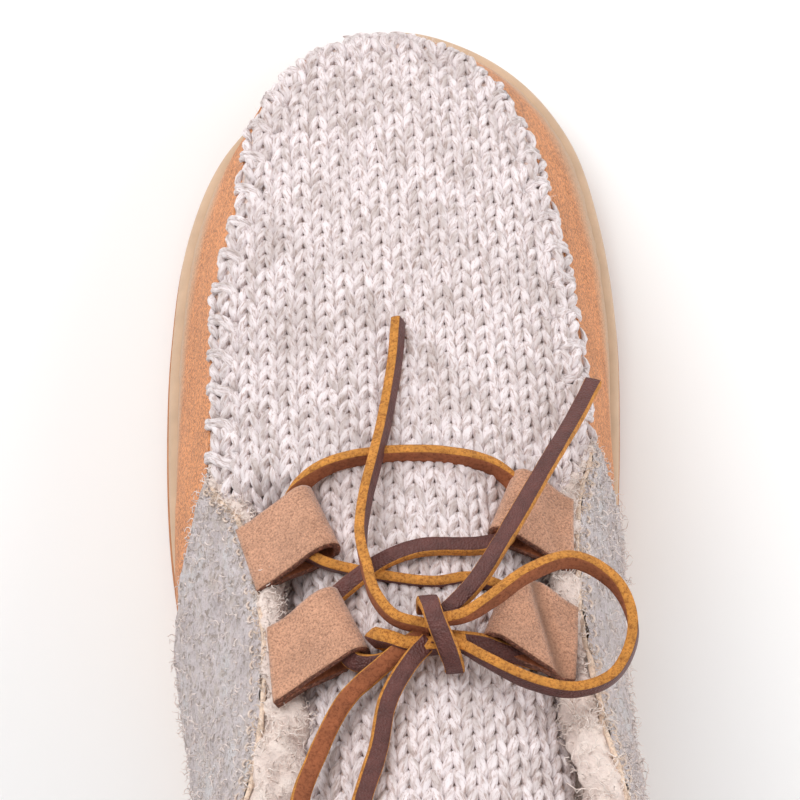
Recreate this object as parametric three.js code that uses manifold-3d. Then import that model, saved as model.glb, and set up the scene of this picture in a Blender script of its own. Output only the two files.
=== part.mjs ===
// Moccasin slipper for the left foot, standing empty on its sole. Sizes are in millimetres.
// The toe points along -Y, +Z is up, and -X is the medial side, where the big toe is.
// A station is a distance from the tip of the toe towards the heel.

import * as THREE from 'three';
import { mergeVertices } from 'three/addons/utils/BufferGeometryUtils.js';
import Module from 'manifold-3d';

const wasm = await Module();
wasm.setup();

// Driving dimensions
const LENGTH = 263;
const WALL = 7; // knit, felt or suede with its fleece
const LEDGE = 3; // foxing that shows outside the upper
const CLEAR = 0.3; // between pieces that meet
const OUTSOLE_THICK = 4.5;
const FOXING_SETBACK = 0.8; // the outsole's edge stands this far proud of the foxing
const FOREFOOT_HEIGHT = 12.5; // top of the midsole above the floor's side of the outsole
const HEEL_WEDGE = 4; // more height under the heel
const TOE_SPRING = 7;
const ARCH_LIFT = 1.2;
const HEEL_BEVEL = 1.5;
const INSOLE_THICK = 4;
const TONGUE_THICK = 5.5;
const SUEDE_THICK = 1.3;
const TAB_WIDTH = 14;
const TAB_TUNNEL = 3.8; // height of the hollow that the lace runs through
const LACE_DIAMETER = 2.9; // round, with the section of a flat lace 3.4 wide and 2 thick

// Stations where the sole changes
const SPRING_END = 52;
const ARCH_START = 120;
const ARCH_END = 192;
const BEVEL_START = 249;
const WEDGE_START = 95;
const WEDGE_END = 205;

// Fineness of the faceted surfaces
const SPOKES_PER_POST = 4;
const WALL_LEVELS = 6;
const SOLE_COLUMNS = 3;
const APRON_COLUMNS = 10;
const TONGUE_COLUMNS = 12;
const LACE_SIDES = 8;
const LACE_STEP = 6;

// The sole's edge from the toe to the heel, as a station and the edge on each side of it
const SOLE_EDGE = [
  { s: 0, lateral: -4, medial: -4 },
  { s: 4, lateral: 10, medial: -18.5 },
  { s: 13, lateral: 22, medial: -31.5 },
  { s: 27, lateral: 34.5, medial: -40.5 },
  { s: 45, lateral: 43.5, medial: -47 },
  { s: 68, lateral: 48.6, medial: -50.3 },
  { s: 92, lateral: 50.3, medial: -49.6 },
  { s: 115, lateral: 50, medial: -47.6 },
  { s: 137, lateral: 47.5, medial: -44.6 },
  { s: 159, lateral: 44, medial: -41.8 },
  { s: 181, lateral: 40.6, medial: -39.8 },
  { s: 202, lateral: 38, medial: -39 },
  { s: 222, lateral: 35.4, medial: -38.4 },
  { s: 242, lateral: 29, medial: -33 },
  { s: 257, lateral: 15, medial: -19 },
  { s: LENGTH, lateral: -2, medial: -2 },
];

// The upper's top line, each row above the same row of the sole's edge: the apron's seam, then the throat,
// then the collar. bulge is how far the wall stands out below it, and crown how far the apron rises between
// its two seams.
const TOP_LINE = [
  { lateralS: 10, lateral: -3, medialS: 10, medial: -3, z: 38, bulge: 2, crown: 0 },
  { lateralS: 12.5, lateral: 13, medialS: 12, medial: -17.5, z: 38, bulge: 2, crown: 1.5 },
  { lateralS: 19, lateral: 22.5, medialS: 19.5, medial: -26, z: 39, bulge: 2, crown: 4 },
  { lateralS: 30, lateral: 30, medialS: 32, medial: -33, z: 41, bulge: 2.5, crown: 6 },
  { lateralS: 47, lateral: 33.5, medialS: 48, medial: -35.8, z: 43.5, bulge: 3, crown: 8.5 },
  { lateralS: 67, lateral: 37, medialS: 66, medial: -37, z: 47, bulge: 3, crown: 11 },
  { lateralS: 90, lateral: 38, medialS: 87, medial: -37.7, z: 51, bulge: 4, crown: 14 },
  { lateralS: 109, lateral: 38, medialS: 105, medial: -37.5, z: 56, bulge: 5.5, crown: 16 },
  { lateralS: 121, lateral: 31.5, medialS: 118, medial: -33.5, z: 67, bulge: 7.5, crown: 16 },
  { lateralS: 142, lateral: 28, medialS: 142, medial: -31.5, z: 80, bulge: 8.5, crown: 16 },
  { lateralS: 164, lateral: 29, medialS: 163, medial: -33.5, z: 89, bulge: 8, crown: 16 },
  { lateralS: 182, lateral: 33, medialS: 181, medial: -37, z: 94.5, bulge: 6, crown: 16 },
  { lateralS: 204, lateral: 35, medialS: 204, medial: -38.5, z: 92, bulge: 5, crown: 16 },
  { lateralS: 229, lateral: 33, medialS: 229, medial: -36.5, z: 90, bulge: 4.5, crown: 16 },
  { lateralS: 248, lateral: 18, medialS: 248, medial: -21.5, z: 93, bulge: 4, crown: 16 },
  { lateralS: 254, lateral: -1.8, medialS: 254, medial: -1.8, z: 96, bulge: 3.5, crown: 0 },
];
const THROAT_POST = 7; // the row where the apron ends
const OPEN_POST = 8; // from this row on the top line is a free edge

// The tongue, from the throat to its top. A row has the station, the ridge's height, half the width and how
// far the sides fall below the ridge.
const TONGUE_CENTRE = -1.5;
const TONGUE = [
  { s: 107.4, ridge: 71.5, half: 28, fall: 8.8 },
  { s: 116, ridge: 75.4, half: 26.8, fall: 16 },
  { s: 126, ridge: 79.8, half: 28, fall: 22 },
  { s: 140, ridge: 85.6, half: 28, fall: 23.5 },
  { s: 154, ridge: 91.4, half: 27, fall: 20 },
  { s: 168, ridge: 97.4, half: 25, fall: 15 },
  { s: 180, ridge: 102.6, half: 22.5, fall: 11 },
  { s: 188, ridge: 106, half: 18, fall: 7 },
  { s: 191.5, ridge: 107.4, half: 10, fall: 3 },
];
const TONGUE_ROUNDNESS = 2.5; // power of the fall across the tongue
const APRON_ROUNDNESS = 2.2;
const THROAT_SKEW = 1.5; // the tongue's front edge runs back by this much at its lateral end
const THROAT_RAKE = 1.6; // and its lower corner lies this much behind the upper one

// The four lace tabs, each folded over at its inner end. sewn and fold are the middles of its two ends.
const TAB_SLOPE = 0.5; // the instep under the tabs rises by this much for each millimetre towards the heel
const TABS = [
  { name: 'tab_front_lateral', sewn: [30.6, 128.8, 74.4], fold: [16.8, 121.2, 76.4] },
  { name: 'tab_front_medial', sewn: [-33, 127, 74.2], fold: [-19.2, 119.4, 75.4] },
  { name: 'tab_rear_lateral', sewn: [27.4, 151, 86], fold: [12.4, 142.8, 87.8] },
  { name: 'tab_rear_medial', sewn: [-31, 150.2, 85.7], fold: [-16.2, 141.4, 87.2] },
];

// The lace, as points of x, station and height along the middle of each stretch
const FRONT_BAR = [
  [18.6, 112.6, 73.4], [12.5, 110.4, 74], [1, 109.6, 74.6], [-10.6, 110.4, 74.4], [-18.6, 112, 73],
];
const CROSSING_BROWN = [
  [-17.6, 127.2, 81.2], [-11.2, 128.9, 83], [-1.8, 129.6, 83.8], [5, 131.8, 84.8], [12.2, 135.6, 84],
];
const CROSSING_OCHRE = [
  [14.2, 131, 81.8], [9, 133.2, 83.8], [1, 135.2, 85.4], [-7, 136, 85.6], [-13.6, 135.6, 83.8],
];
const REAR_BAR = [[9, 150.6, 91.6], [4, 149.2, 92], [-3, 147.2, 91.8], [-9, 147, 91.4], [-13.2, 148.2, 90]];
const END_TOE = [
  [3.6, 144, 96.4], [6.8, 139, 95], [8.4, 133, 91.4], [9.2, 127, 87.6], [8, 118.6, 82], [5.8, 110.4, 78.6],
  [3.5, 101.3, 73], [0.9, 88.3, 68.4], [-0.1, 79.9, 66],
];
const END_MEDIAL = [
  [-6.6, 141.8, 95.7], [-11.6, 136.4, 93.8], [-17.8, 127.6, 88.2], [-27, 112.6, 78.4], [-33.7, 101.6, 68],
  [-38.6, 92.6, 59.6],
];
const LOOP_MEDIAL = [
  [-9.1, 144.2, 97.6], [-14, 141.2, 98], [-21, 136.4, 97], [-29.6, 133.8, 94], [-37.6, 138.6, 91.4],
  [-40, 146.8, 91], [-36, 154.8, 92], [-28.6, 157.6, 94], [-20.3, 156, 96.4], [-12.3, 151.8, 97.6],
  [-8, 149.4, 97.8],
];
const LOOP_LATERAL = [
  [2, 148.8, 96.6], [7, 152.8, 96], [13.3, 158.2, 96], [19.1, 168.8, 98], [22, 176.5, 101], [21.6, 184, 105],
  [17.4, 188.4, 109.4], [12.8, 184.6, 108.2], [11, 176.6, 104.6], [7.8, 167.6, 101.4], [5.6, 158.6, 98.6],
  [1.4, 151.6, 97],
];
const KNOT = { at: [-2.8, 145.4, 97.6], radii: [5.8, 5.2, 3.9] };

const mm = (x, s, z) => new THREE.Vector3(x, s - LENGTH / 2, z);
const stationOf = (point) => point.y + LENGTH / 2;
const ease = (from, to, s) => THREE.MathUtils.smoothstep(s, from, to);

// Heights along the sole
function lift(s) {
  const spring = TOE_SPRING * Math.max(0, (SPRING_END - s) / SPRING_END) ** 2;
  const along = THREE.MathUtils.clamp((s - ARCH_START) / (ARCH_END - ARCH_START), 0, 1);
  const arch = ARCH_LIFT * Math.sin(Math.PI * along) ** 2;
  const bevel = HEEL_BEVEL * Math.max(0, (s - BEVEL_START) / (LENGTH - BEVEL_START)) ** 2;
  return spring + arch + bevel;
}

function soleTop(s) {
  const sprung = lift(s) * (1 - ease(ARCH_START, ARCH_END, s));
  return sprung + FOREFOOT_HEIGHT + HEEL_WEDGE * ease(WEDGE_START, WEDGE_END, s);
}

// A closed curve through the rows of a table: toe, lateral side, heel, medial side
function loop(rows, lateral, medial, type) {
  const points = [...rows.map(lateral), ...rows.slice(1, -1).map(medial).reverse()];
  return new THREE.CatmullRomCurve3(points, true, type);
}

const edgeCurve = loop(
  SOLE_EDGE,
  (row) => mm(row.lateral, row.s, 0),
  (row) => mm(row.medial, row.s, 0),
  'centripetal',
);
const topCurve = loop(
  TOP_LINE,
  (row) => mm(row.lateral, row.lateralS, row.z),
  (row) => mm(row.medial, row.medialS, row.z),
  'centripetal',
);
const trim = (row) => new THREE.Vector3(row.bulge, row.crown, 0);
const trimCurve = loop(TOP_LINE, trim, trim, 'catmullrom');

const POST_COUNT = 2 * TOP_LINE.length - 2;
const SPOKES = POST_COUNT * SPOKES_PER_POST;
const THROAT_SPOKE = THROAT_POST * SPOKES_PER_POST;
const wrap = (t) => ((t % 1) + 1) % 1;
const spokes = (make) => Array.from({ length: SPOKES }, (_, j) => make(j / SPOKES));

function outward(t) {
  const step = 1e-4;
  const along = edgeCurve.getPoint(wrap(t + step)).sub(edgeCurve.getPoint(wrap(t - step)));
  return new THREE.Vector3(along.y, -along.x, 0).normalize();
}

function edgePoint(t, inset) {
  return edgeCurve.getPoint(wrap(t)).addScaledVector(outward(t), -inset);
}

// The upper's outer surface: t runs round the foot and v from the sole to the top line.
function wallPoint(t, v) {
  const base = edgePoint(t, LEDGE);
  base.z = soleTop(stationOf(base)) + CLEAR;
  const bulge = trimCurve.getPoint(wrap(t)).x * Math.sin(Math.PI * v ** 0.75);
  return base.lerp(topCurve.getPoint(wrap(t)), v).addScaledVector(outward(t), bulge);
}

function wallNormal(t, v) {
  const step = 1e-3;
  const low = Math.max(0.02, v - step);
  const round = wallPoint(t + step, v).sub(wallPoint(t - step, v));
  const up = wallPoint(t, Math.min(1, low + 2 * step)).sub(wallPoint(t, low));
  return round.cross(up).normalize();
}

// The inside follows the outside a wall's thickness in. Under the apron it also stops that much lower.
function innerPoint(t, v) {
  const posts = Math.min(wrap(t), 1 - wrap(t)) * POST_COUNT;
  const closed = 1 - ease(THROAT_POST - 0.5, OPEN_POST, posts);
  const height = topCurve.getPoint(wrap(t)).z - wallPoint(t, 0).z;
  const reach = v * (1 - (closed * WALL) / height);
  const towards = outward(t).lerp(wallNormal(t, reach), Math.min(1, v * 4)).normalize();
  const point = wallPoint(t, reach).addScaledVector(towards, -WALL);
  if (v === 0) {
    point.z = soleTop(stationOf(point)) + CLEAR;
  }
  return point;
}

// A closed surface, gathered quad by quad
class Skin {
  constructor() {
    this.corners = [];
  }

  triangle(a, b, c) {
    const flat = a.distanceTo(b) < 1e-5 || b.distanceTo(c) < 1e-5 || c.distanceTo(a) < 1e-5;
    if (!flat) {
      this.corners.push(a, b, c);
    }
  }

  quad(a, b, c, d) {
    this.triangle(a, b, c);
    this.triangle(a, c, d);
  }

  sheet(rows, round = false) {
    for (let i = 0; i + 1 < rows.length; i += 1) {
      const count = rows[i].length;
      for (let j = 0; j < (round ? count : count - 1); j += 1) {
        const next = (j + 1) % count;
        this.quad(rows[i][j], rows[i][next], rows[i + 1][next], rows[i + 1][j]);
      }
    }
  }

  geometry() {
    const made = new THREE.BufferGeometry().setFromPoints(this.corners);
    return mergeVertices(made, 1e-4);
  }
}

// Rows across a closed ring of spokes, each from its lateral spoke to the medial one
function across(ring, last, columns, place) {
  const rows = [];
  for (let i = 0; i <= last; i += 1) {
    const lateral = ring[i];
    const medial = ring[(ring.length - i) % ring.length];
    rows.push(Array.from({ length: columns + 1 }, (_, q) => place(lateral, medial, q / columns, i)));
  }
  return rows;
}

// A slab inside the sole's edge. A level has its inset and its height as a function of the station.
function slab(levels) {
  const skin = new Skin();
  const rings = levels.map(({ inset, height }) =>
    spokes((t) => {
      const point = edgePoint(t, inset);
      point.z = height(stationOf(point));
      return point;
    }),
  );
  const cap = (ring, height) =>
    across(ring, SPOKES / 2, SOLE_COLUMNS, (lateral, medial, q) => {
      const point = lateral.clone().lerp(medial, q);
      point.z = height(stationOf(point));
      return point;
    });
  skin.sheet(rings, true);
  skin.sheet(cap(rings[0], levels[0].height));
  skin.sheet(cap(rings.at(-1), levels.at(-1).height).reverse());
  return skin.geometry();
}

function outsoleGeometry() {
  const bevel = 1;
  const top = (s) => lift(s) + OUTSOLE_THICK;
  return slab([
    { inset: bevel, height: lift },
    { inset: 0, height: (s) => lift(s) + bevel },
    { inset: 0, height: top },
  ]);
}

function midsoleGeometry() {
  const round = 2;
  return slab([
    { inset: FOXING_SETBACK, height: (s) => lift(s) + OUTSOLE_THICK + CLEAR },
    { inset: FOXING_SETBACK, height: (s) => soleTop(s) - round },
    { inset: FOXING_SETBACK + round * 0.3, height: (s) => soleTop(s) - round * 0.3 },
    { inset: FOXING_SETBACK + round, height: soleTop },
  ]);
}

function insoleGeometry() {
  const inset = LEDGE + WALL + 2 * CLEAR;
  return slab([
    { inset, height: (s) => soleTop(s) + CLEAR },
    { inset, height: (s) => soleTop(s) + CLEAR + INSOLE_THICK },
  ]);
}

// One hollow solid: the wall all round, with the apron closing it over the toes as far as the throat
function upperGeometry() {
  const skin = new Skin();
  const levels = Array.from({ length: WALL_LEVELS + 1 }, (_, k) => k / WALL_LEVELS);
  const outer = levels.map((v) => spokes((t) => wallPoint(t, v)));
  const inner = levels.map((v) => spokes((t) => innerPoint(t, v)));
  skin.sheet(outer, true);
  skin.sheet([...inner].reverse(), true);
  skin.sheet([inner[0], outer[0]], true);

  const outerTop = outer.at(-1);
  const innerTop = inner.at(-1);
  const rise = (q) => 1 - Math.abs(2 * q - 1) ** APRON_ROUNDNESS;
  const crownAt = (i) => trimCurve.getPoint(i / SPOKES).y;
  const roof = across(outerTop, THROAT_SPOKE, APRON_COLUMNS, (lateral, medial, q, i) => {
    const point = lateral.clone().lerp(medial, q);
    point.z += crownAt(i) * rise(q);
    return point;
  });
  const ceiling = across(innerTop, THROAT_SPOKE, APRON_COLUMNS, (lateral, medial, q, i) => {
    const ridge = (outerTop[i].z + outerTop[(SPOKES - i) % SPOKES].z) / 2 + crownAt(i) - WALL;
    const point = lateral.clone().lerp(medial, q);
    point.z += Math.max(0, ridge - (lateral.z + medial.z) / 2) * rise(q);
    return point;
  });
  skin.sheet([...roof].reverse());
  skin.sheet(ceiling);
  skin.sheet([ceiling[THROAT_SPOKE], roof[THROAT_SPOKE]]);
  for (let j = THROAT_SPOKE; j < SPOKES - THROAT_SPOKE; j += 1) {
    skin.quad(outerTop[j], outerTop[j + 1], innerTop[j + 1], innerTop[j]);
  }
  return skin.geometry();
}

// The tongue's face, or its back where depth is the thickness, for a side position from -1 to 1
function tonguePoint(row, side, depth) {
  const fall = row.fall * Math.abs(side) ** TONGUE_ROUNDNESS;
  const front = 1 - ease(TONGUE[0].s, TONGUE[2].s, row.s);
  const shift = front * (THROAT_SKEW * side + (THROAT_RAKE * depth) / TONGUE_THICK);
  return mm(TONGUE_CENTRE + row.half * side, row.s + shift, row.ridge - fall - depth);
}

function tongueRows() {
  const smooth = (key) => new THREE.CatmullRomCurve3(TONGUE.map(key), false, 'catmullrom');
  const ridge = smooth((row) => new THREE.Vector3(row.s, row.ridge, row.half));
  const falls = smooth((row) => new THREE.Vector3(row.fall, 0, 0));
  const count = (TONGUE.length - 1) * 3;
  return Array.from({ length: count + 1 }, (_, i) => {
    const key = ridge.getPoint(i / count);
    return { s: key.x, ridge: key.y, half: key.z, fall: falls.getPoint(i / count).x };
  });
}

function tongueGeometry() {
  const skin = new Skin();
  const sides = Array.from({ length: TONGUE_COLUMNS + 1 }, (_, q) => 1 - (2 * q) / TONGUE_COLUMNS);
  const face = tongueRows().map((row) => sides.map((side) => tonguePoint(row, side, 0)));
  const back = tongueRows().map((row) => sides.map((side) => tonguePoint(row, side, TONGUE_THICK)));
  skin.sheet([...face].reverse());
  skin.sheet(back);
  skin.sheet([back.at(-1), face.at(-1)]);
  skin.sheet([face[0], back[0]]);
  skin.sheet([back.map((row) => row[0]), face.map((row) => row[0])]);
  skin.sheet([face.map((row) => row.at(-1)), back.map((row) => row.at(-1))]);
  return skin.geometry();
}

// A strip of suede folded back on itself, with the lace's tunnel at the fold
function tabGeometry({ sewn, fold }) {
  const from = mm(...sewn);
  const to = mm(...fold);
  const along = to.clone().sub(from);
  const length = along.length();
  const radius = TAB_TUNNEL / 2 + SUEDE_THICK;
  const neck = length - 2 * radius;
  const outline = new THREE.Shape();
  outline.moveTo(0, -SUEDE_THICK);
  outline.quadraticCurveTo(neck * 0.6, -SUEDE_THICK, neck, -radius);
  outline.absarc(neck + radius / 2, 0, radius, -Math.PI / 2, Math.PI / 2, false);
  outline.quadraticCurveTo(neck * 0.6, SUEDE_THICK, 0, SUEDE_THICK);
  const tunnel = new THREE.Path();
  tunnel.moveTo(neck * 0.45, 0);
  tunnel.lineTo(neck, -TAB_TUNNEL / 2);
  tunnel.absarc(neck + radius / 2, 0, TAB_TUNNEL / 2, -Math.PI / 2, Math.PI / 2, false);
  tunnel.lineTo(neck, TAB_TUNNEL / 2);
  outline.holes.push(tunnel);
  const options = { depth: TAB_WIDTH, bevelEnabled: false, curveSegments: 6 };
  const made = new THREE.ExtrudeGeometry(outline, options);
  const forward = along.normalize();
  const aside = forward.clone().cross(new THREE.Vector3(0, -TAB_SLOPE, 1)).normalize();
  const upward = aside.clone().cross(forward);
  made.translate(0, 0, -TAB_WIDTH / 2);
  return { made, frame: new THREE.Matrix4().makeBasis(forward, upward, aside).setPosition(from) };
}

// A stretch of lace along a smooth curve
function laceGeometry(points) {
  const path = new THREE.CatmullRomCurve3(points.map((point) => mm(...point)), false, 'centripetal');
  const section = new THREE.Shape();
  for (let side = 0; side < LACE_SIDES; side += 1) {
    const turn = ((side + 0.5) / LACE_SIDES) * 2 * Math.PI;
    const corner = [(Math.cos(turn) * LACE_DIAMETER) / 2, (Math.sin(turn) * LACE_DIAMETER) / 2];
    if (side === 0) {
      section.moveTo(...corner);
    } else {
      section.lineTo(...corner);
    }
  }
  section.closePath();
  const steps = Math.max(2, Math.round(path.getLength() / LACE_STEP));
  return new THREE.ExtrudeGeometry(section, { steps, bevelEnabled: false, extrudePath: path });
}

function knotGeometry({ at, radii }) {
  const ball = new THREE.SphereGeometry(1, 14, 10);
  ball.scale(...radii);
  const centre = mm(...at);
  ball.translate(centre.x, centre.y, centre.z);
  return ball;
}

// Joins and cuts need closed meshes whose corners are shared.
function solidOf(geometry) {
  const bare = geometry.clone();
  bare.deleteAttribute('normal');
  bare.deleteAttribute('uv');
  const merged = mergeVertices(bare, 1e-4);
  const mesh = new wasm.Mesh({
    numProp: 3,
    vertProperties: new Float32Array(merged.attributes.position.array),
    triVerts: new Uint32Array(merged.index.array),
  });
  return new wasm.Manifold(mesh);
}

function joined(...geometries) {
  const whole = geometries.map(solidOf).reduce((one, other) => one.add(other));
  const mesh = whole.getMesh();
  const made = new THREE.BufferGeometry();
  made.setAttribute('position', new THREE.BufferAttribute(new Float32Array(mesh.vertProperties), 3));
  made.setIndex(new THREE.BufferAttribute(new Uint32Array(mesh.triVerts), 1));
  return made;
}

const FINISHES = {
  rubber: { color: 0xb9714a, roughness: 0.7, metalness: 0 },
  foxing: { color: 0xdcbea4, roughness: 0.75, metalness: 0 },
  felt: { color: 0xcdc6c1, roughness: 1, metalness: 0 },
  knit: { color: 0xe3dad6, roughness: 1, metalness: 0 },
  fleece: { color: 0xe8dad0, roughness: 1, metalness: 0 },
  suede: { color: 0xc3916e, roughness: 0.95, metalness: 0 },
  lace: { color: 0x7a4a3c, roughness: 0.55, metalness: 0 },
};

const slipper = new THREE.Group();

function add(name, geometry, finish) {
  const mesh = new THREE.Mesh(geometry, new THREE.MeshStandardMaterial(FINISHES[finish]));
  mesh.name = name;
  slipper.add(mesh);
  return mesh;
}

add('outsole', outsoleGeometry(), 'rubber');
add('midsole', midsoleGeometry(), 'foxing');
add('insole', insoleGeometry(), 'fleece');
add('upper', upperGeometry(), 'felt');
add('tongue', tongueGeometry(), 'knit');
for (const tab of TABS) {
  const { made, frame } = tabGeometry(tab);
  const mesh = add(tab.name, made, 'suede');
  mesh.applyMatrix4(frame);
}
add('lace_front_bar', laceGeometry(FRONT_BAR), 'lace');
add('lace_crossing', joined(laceGeometry(CROSSING_BROWN), laceGeometry(CROSSING_OCHRE)), 'lace');
add('lace_rear_bar', laceGeometry(REAR_BAR), 'lace');
add('lace_knot', knotGeometry(KNOT), 'lace');
add('lace_loop_medial', laceGeometry(LOOP_MEDIAL), 'lace');
add('lace_loop_lateral', laceGeometry(LOOP_LATERAL), 'lace');
add('lace_end_toe', laceGeometry(END_TOE), 'lace');
add('lace_end_medial', laceGeometry(END_MEDIAL), 'lace');

export default slipper;
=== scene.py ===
"""Moccasin slipper for the left foot: its knit, suede, felt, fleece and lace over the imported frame.

Shapes are worked out in millimetres, from tables close to those that the frame was made with, and
turned to metres when a piece is made. The toe points along -Y, +Z is up and -X is the medial side.
A station is a distance from the toe's tip towards the heel.
"""

import math

import bpy
import numpy as np
from bpy.props import FloatProperty, FloatVectorProperty, IntProperty, PointerProperty
from mathutils import Matrix, Vector


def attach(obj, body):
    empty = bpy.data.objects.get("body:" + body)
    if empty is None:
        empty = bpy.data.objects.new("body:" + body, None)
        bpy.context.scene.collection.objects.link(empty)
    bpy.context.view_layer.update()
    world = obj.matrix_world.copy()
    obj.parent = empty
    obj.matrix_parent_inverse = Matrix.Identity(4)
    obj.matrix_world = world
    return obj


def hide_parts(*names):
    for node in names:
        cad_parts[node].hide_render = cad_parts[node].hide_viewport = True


bl_info = {
    "name": "Moccasin slipper",
    "version": (1, 0, 0),
    "blender": (4, 5, 0),
    "location": "3D View > Sidebar > Slipper",
    "description": "Makes a knitted, fleece-lined moccasin slipper with a leather lace",
    "category": "Add Mesh",
}

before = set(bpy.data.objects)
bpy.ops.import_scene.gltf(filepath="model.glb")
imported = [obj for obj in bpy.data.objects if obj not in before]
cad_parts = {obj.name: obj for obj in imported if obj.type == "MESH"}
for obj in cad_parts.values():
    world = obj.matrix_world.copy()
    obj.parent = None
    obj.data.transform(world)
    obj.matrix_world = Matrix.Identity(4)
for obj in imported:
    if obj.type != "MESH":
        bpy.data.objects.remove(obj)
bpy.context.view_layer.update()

# Sizes in millimetres, the same as the frame's, and powers of its curves
LENGTH = 263.0
WALL = 7.0
LEDGE = 3.0  # the upper stands this far in from the sole's edge
CLEAR = 0.3
OUTSOLE_THICK = 4.5
FOXING_SETBACK = 0.8  # the rubber's edge stands this far proud of the band
FOREFOOT_HEIGHT = 12.5
HEEL_WEDGE = 4.0
TOE_SPRING = 7.0
ARCH_LIFT = 1.2
HEEL_BEVEL = 1.5
INSOLE_THICK = 4.0
TONGUE_THICK = 5.5
TONGUE_CENTRE = -1.5
TONGUE_ROUNDNESS = 2.5  # power of the fall across the tongue
APRON_ROUNDNESS = 2.2
BULGE_POWER = 0.75  # below 1, so the wall bulges most below its middle
MIDDLE = LENGTH / 2  # station of the frame's origin

# Stations where the sole changes
SPRING_END = 52.0
ARCH_START = 120.0
ARCH_END = 192.0
BEVEL_START = 249.0
WEDGE_START = 95.0
WEDGE_END = 205.0

# At the toe's corners the sole's edge stands up to 2.5 mm further out than the frame's, and the top line
# up to 4 mm further in. The tongue is up to 1.6 mm wider on each side.
# The sole's edge: station, lateral edge, medial edge
SOLE_EDGE = [
    (0, -4, -4), (4, 10, -19.5), (13, 22.3, -33), (27, 36.6, -43), (45, 44.8, -48), (68, 48.8, -50.3),
    (92, 50.3, -49.6), (115, 50, -47.6), (137, 47.5, -44.6), (159, 44, -41.8), (181, 40.6, -39.8),
    (202, 38, -39), (222, 35.4, -38.4), (242, 29, -33), (257, 15, -19), (263, -2, -2),
]
# The upper's top line: lateral station and x, medial station and x, height, bulge of the wall below, crown
# of the apron between its two seams
TOP_LINE = [
    (10, -3, 10, -3, 38, 2, 0),
    (12.5, 13, 13.3, -14.5, 38.4, 2, 1.4),
    (19.5, 22.2, 21.5, -23.3, 39.8, 2, 3.4),
    (30.5, 28.4, 33, -29.4, 42, 2.5, 5.4),
    (47, 31.8, 48.5, -33.4, 44.2, 3, 8),
    (67, 36.6, 66, -36.3, 47.2, 3, 10.8),
    (90, 38, 87, -37.7, 51, 4, 14),
    (109, 38, 105, -37.5, 56, 5.5, 16),
    (121, 31.5, 118, -33.5, 67, 7.5, 16),
    (142, 28, 142, -31.5, 80, 8.5, 16),
    (164, 29, 163, -33.5, 89, 8, 16),
    (182, 33, 181, -37, 94.5, 6, 16),
    (204, 35, 204, -38.5, 92, 5, 16),
    (229, 33, 229, -36.5, 90, 4.5, 16),
    (248, 18, 248, -21.5, 93, 4, 16),
    (254, -1.8, 254, -1.8, 96, 3.5, 0),
]
# The tongue: station, height of the ridge, half the width, fall at the sides
TONGUE = [
    (107.4, 71.5, 28, 8.8), (116, 75.4, 26.8, 16), (126, 79.8, 28, 22), (140, 85.6, 28.6, 23.5),
    (154, 91.4, 28.4, 20), (168, 97.4, 26.6, 15), (180, 102.6, 23.8, 11), (188, 106, 18.8, 7),
    (191.5, 107.4, 10.5, 3),
]

# The top line's rows are posts round the foot, from the toe along the lateral side to the heel and back
# along the medial side. t is a share of the whole way round, and is below 0 on the apron's medial side.
POSTS = 2 * len(TOP_LINE) - 2
THROAT_POST = 7
THROAT = THROAT_POST / POSTS
VAMP_END = 9.6 / POSTS  # the suede runs this far under the quarters
CUFF_START = 6.75 / POSTS
RIM_END = 10 / POSTS

# The knit
KNIT_START = 107.9  # station of the apron's last row, which the tongue's rows follow
APRON_FRONT = 8.5
TONGUE_TOP = 190.0
THROAT_STATION = 106.5  # the tongue leaves the apron here
THROAT_SLOPE = 0.46
POINTS_PER_WALE = 16
LEG_SLANT = 0.24  # sideways swing of a stitch's legs, as a share of the wale
LOOP_REACH = 0.84  # length of a loop either way, as a share of the row's height
LOOP_DEPTH = 0.62  # legs stand this far in front of the yarn's mean depth, heads and feet behind it
THROAT_ROWS = 14  # rows of the apron that go into its throat piece

# How many fibres and curls there are
FELT_HAIRS = 6000
FELT_CURLS = 4500
HIDE_CURLS = 1000
YARN_HAIRS = 9000


# Curves and surfaces

def smooth_curve(points, closed=False, even=False):
    """A function from 0..1 to the smooth curve through the points."""
    points = np.asarray(points, float)
    count = len(points)
    spans = count if closed else count - 1

    def at(t):
        t = np.atleast_1d(np.asarray(t, float))
        place = (t % 1.0 if closed else np.clip(t, 0, 1)) * spans
        start = np.minimum(np.floor(place).astype(int), spans - 1)
        w = (place - start)[:, None]
        if closed:
            p0, p1, p2, p3 = (points[(start + k) % count] for k in (-1, 0, 1, 2))
        else:
            p1, p2 = points[start], points[start + 1]
            p0 = np.where((start > 0)[:, None], points[np.maximum(start - 1, 0)], 2 * p1 - p2)
            p3 = np.where((start + 2 < count)[:, None], points[np.minimum(start + 2, count - 1)], 2 * p2 - p1)
        if even:
            d0 = d1 = d2 = np.ones((len(t), 1))
        else:
            d0, d1, d2 = (np.maximum(np.linalg.norm(b - a, axis=1), 1e-6)[:, None] ** 0.5
                          for a, b in ((p0, p1), (p1, p2), (p2, p3)))
        s1 = ((p1 - p0) / d0 - (p2 - p0) / (d0 + d1) + (p2 - p1) / d1) * d1
        s2 = ((p2 - p1) / d1 - (p3 - p1) / (d1 + d2) + (p3 - p2) / d2) * d1
        return p1 + s1 * w + (3 * (p2 - p1) - 2 * s1 - s2) * w**2 + (2 * (p1 - p2) + s1 + s2) * w**3

    return at


def placed(rows):
    """Rows of x, station, height as points of the frame."""
    return np.asarray(rows, float) - [0, MIDDLE, 0]


def unit(vectors):
    """Vectors brought to a length of 1."""
    return vectors / np.maximum(np.linalg.norm(vectors, axis=-1, keepdims=True), 1e-9)


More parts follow.
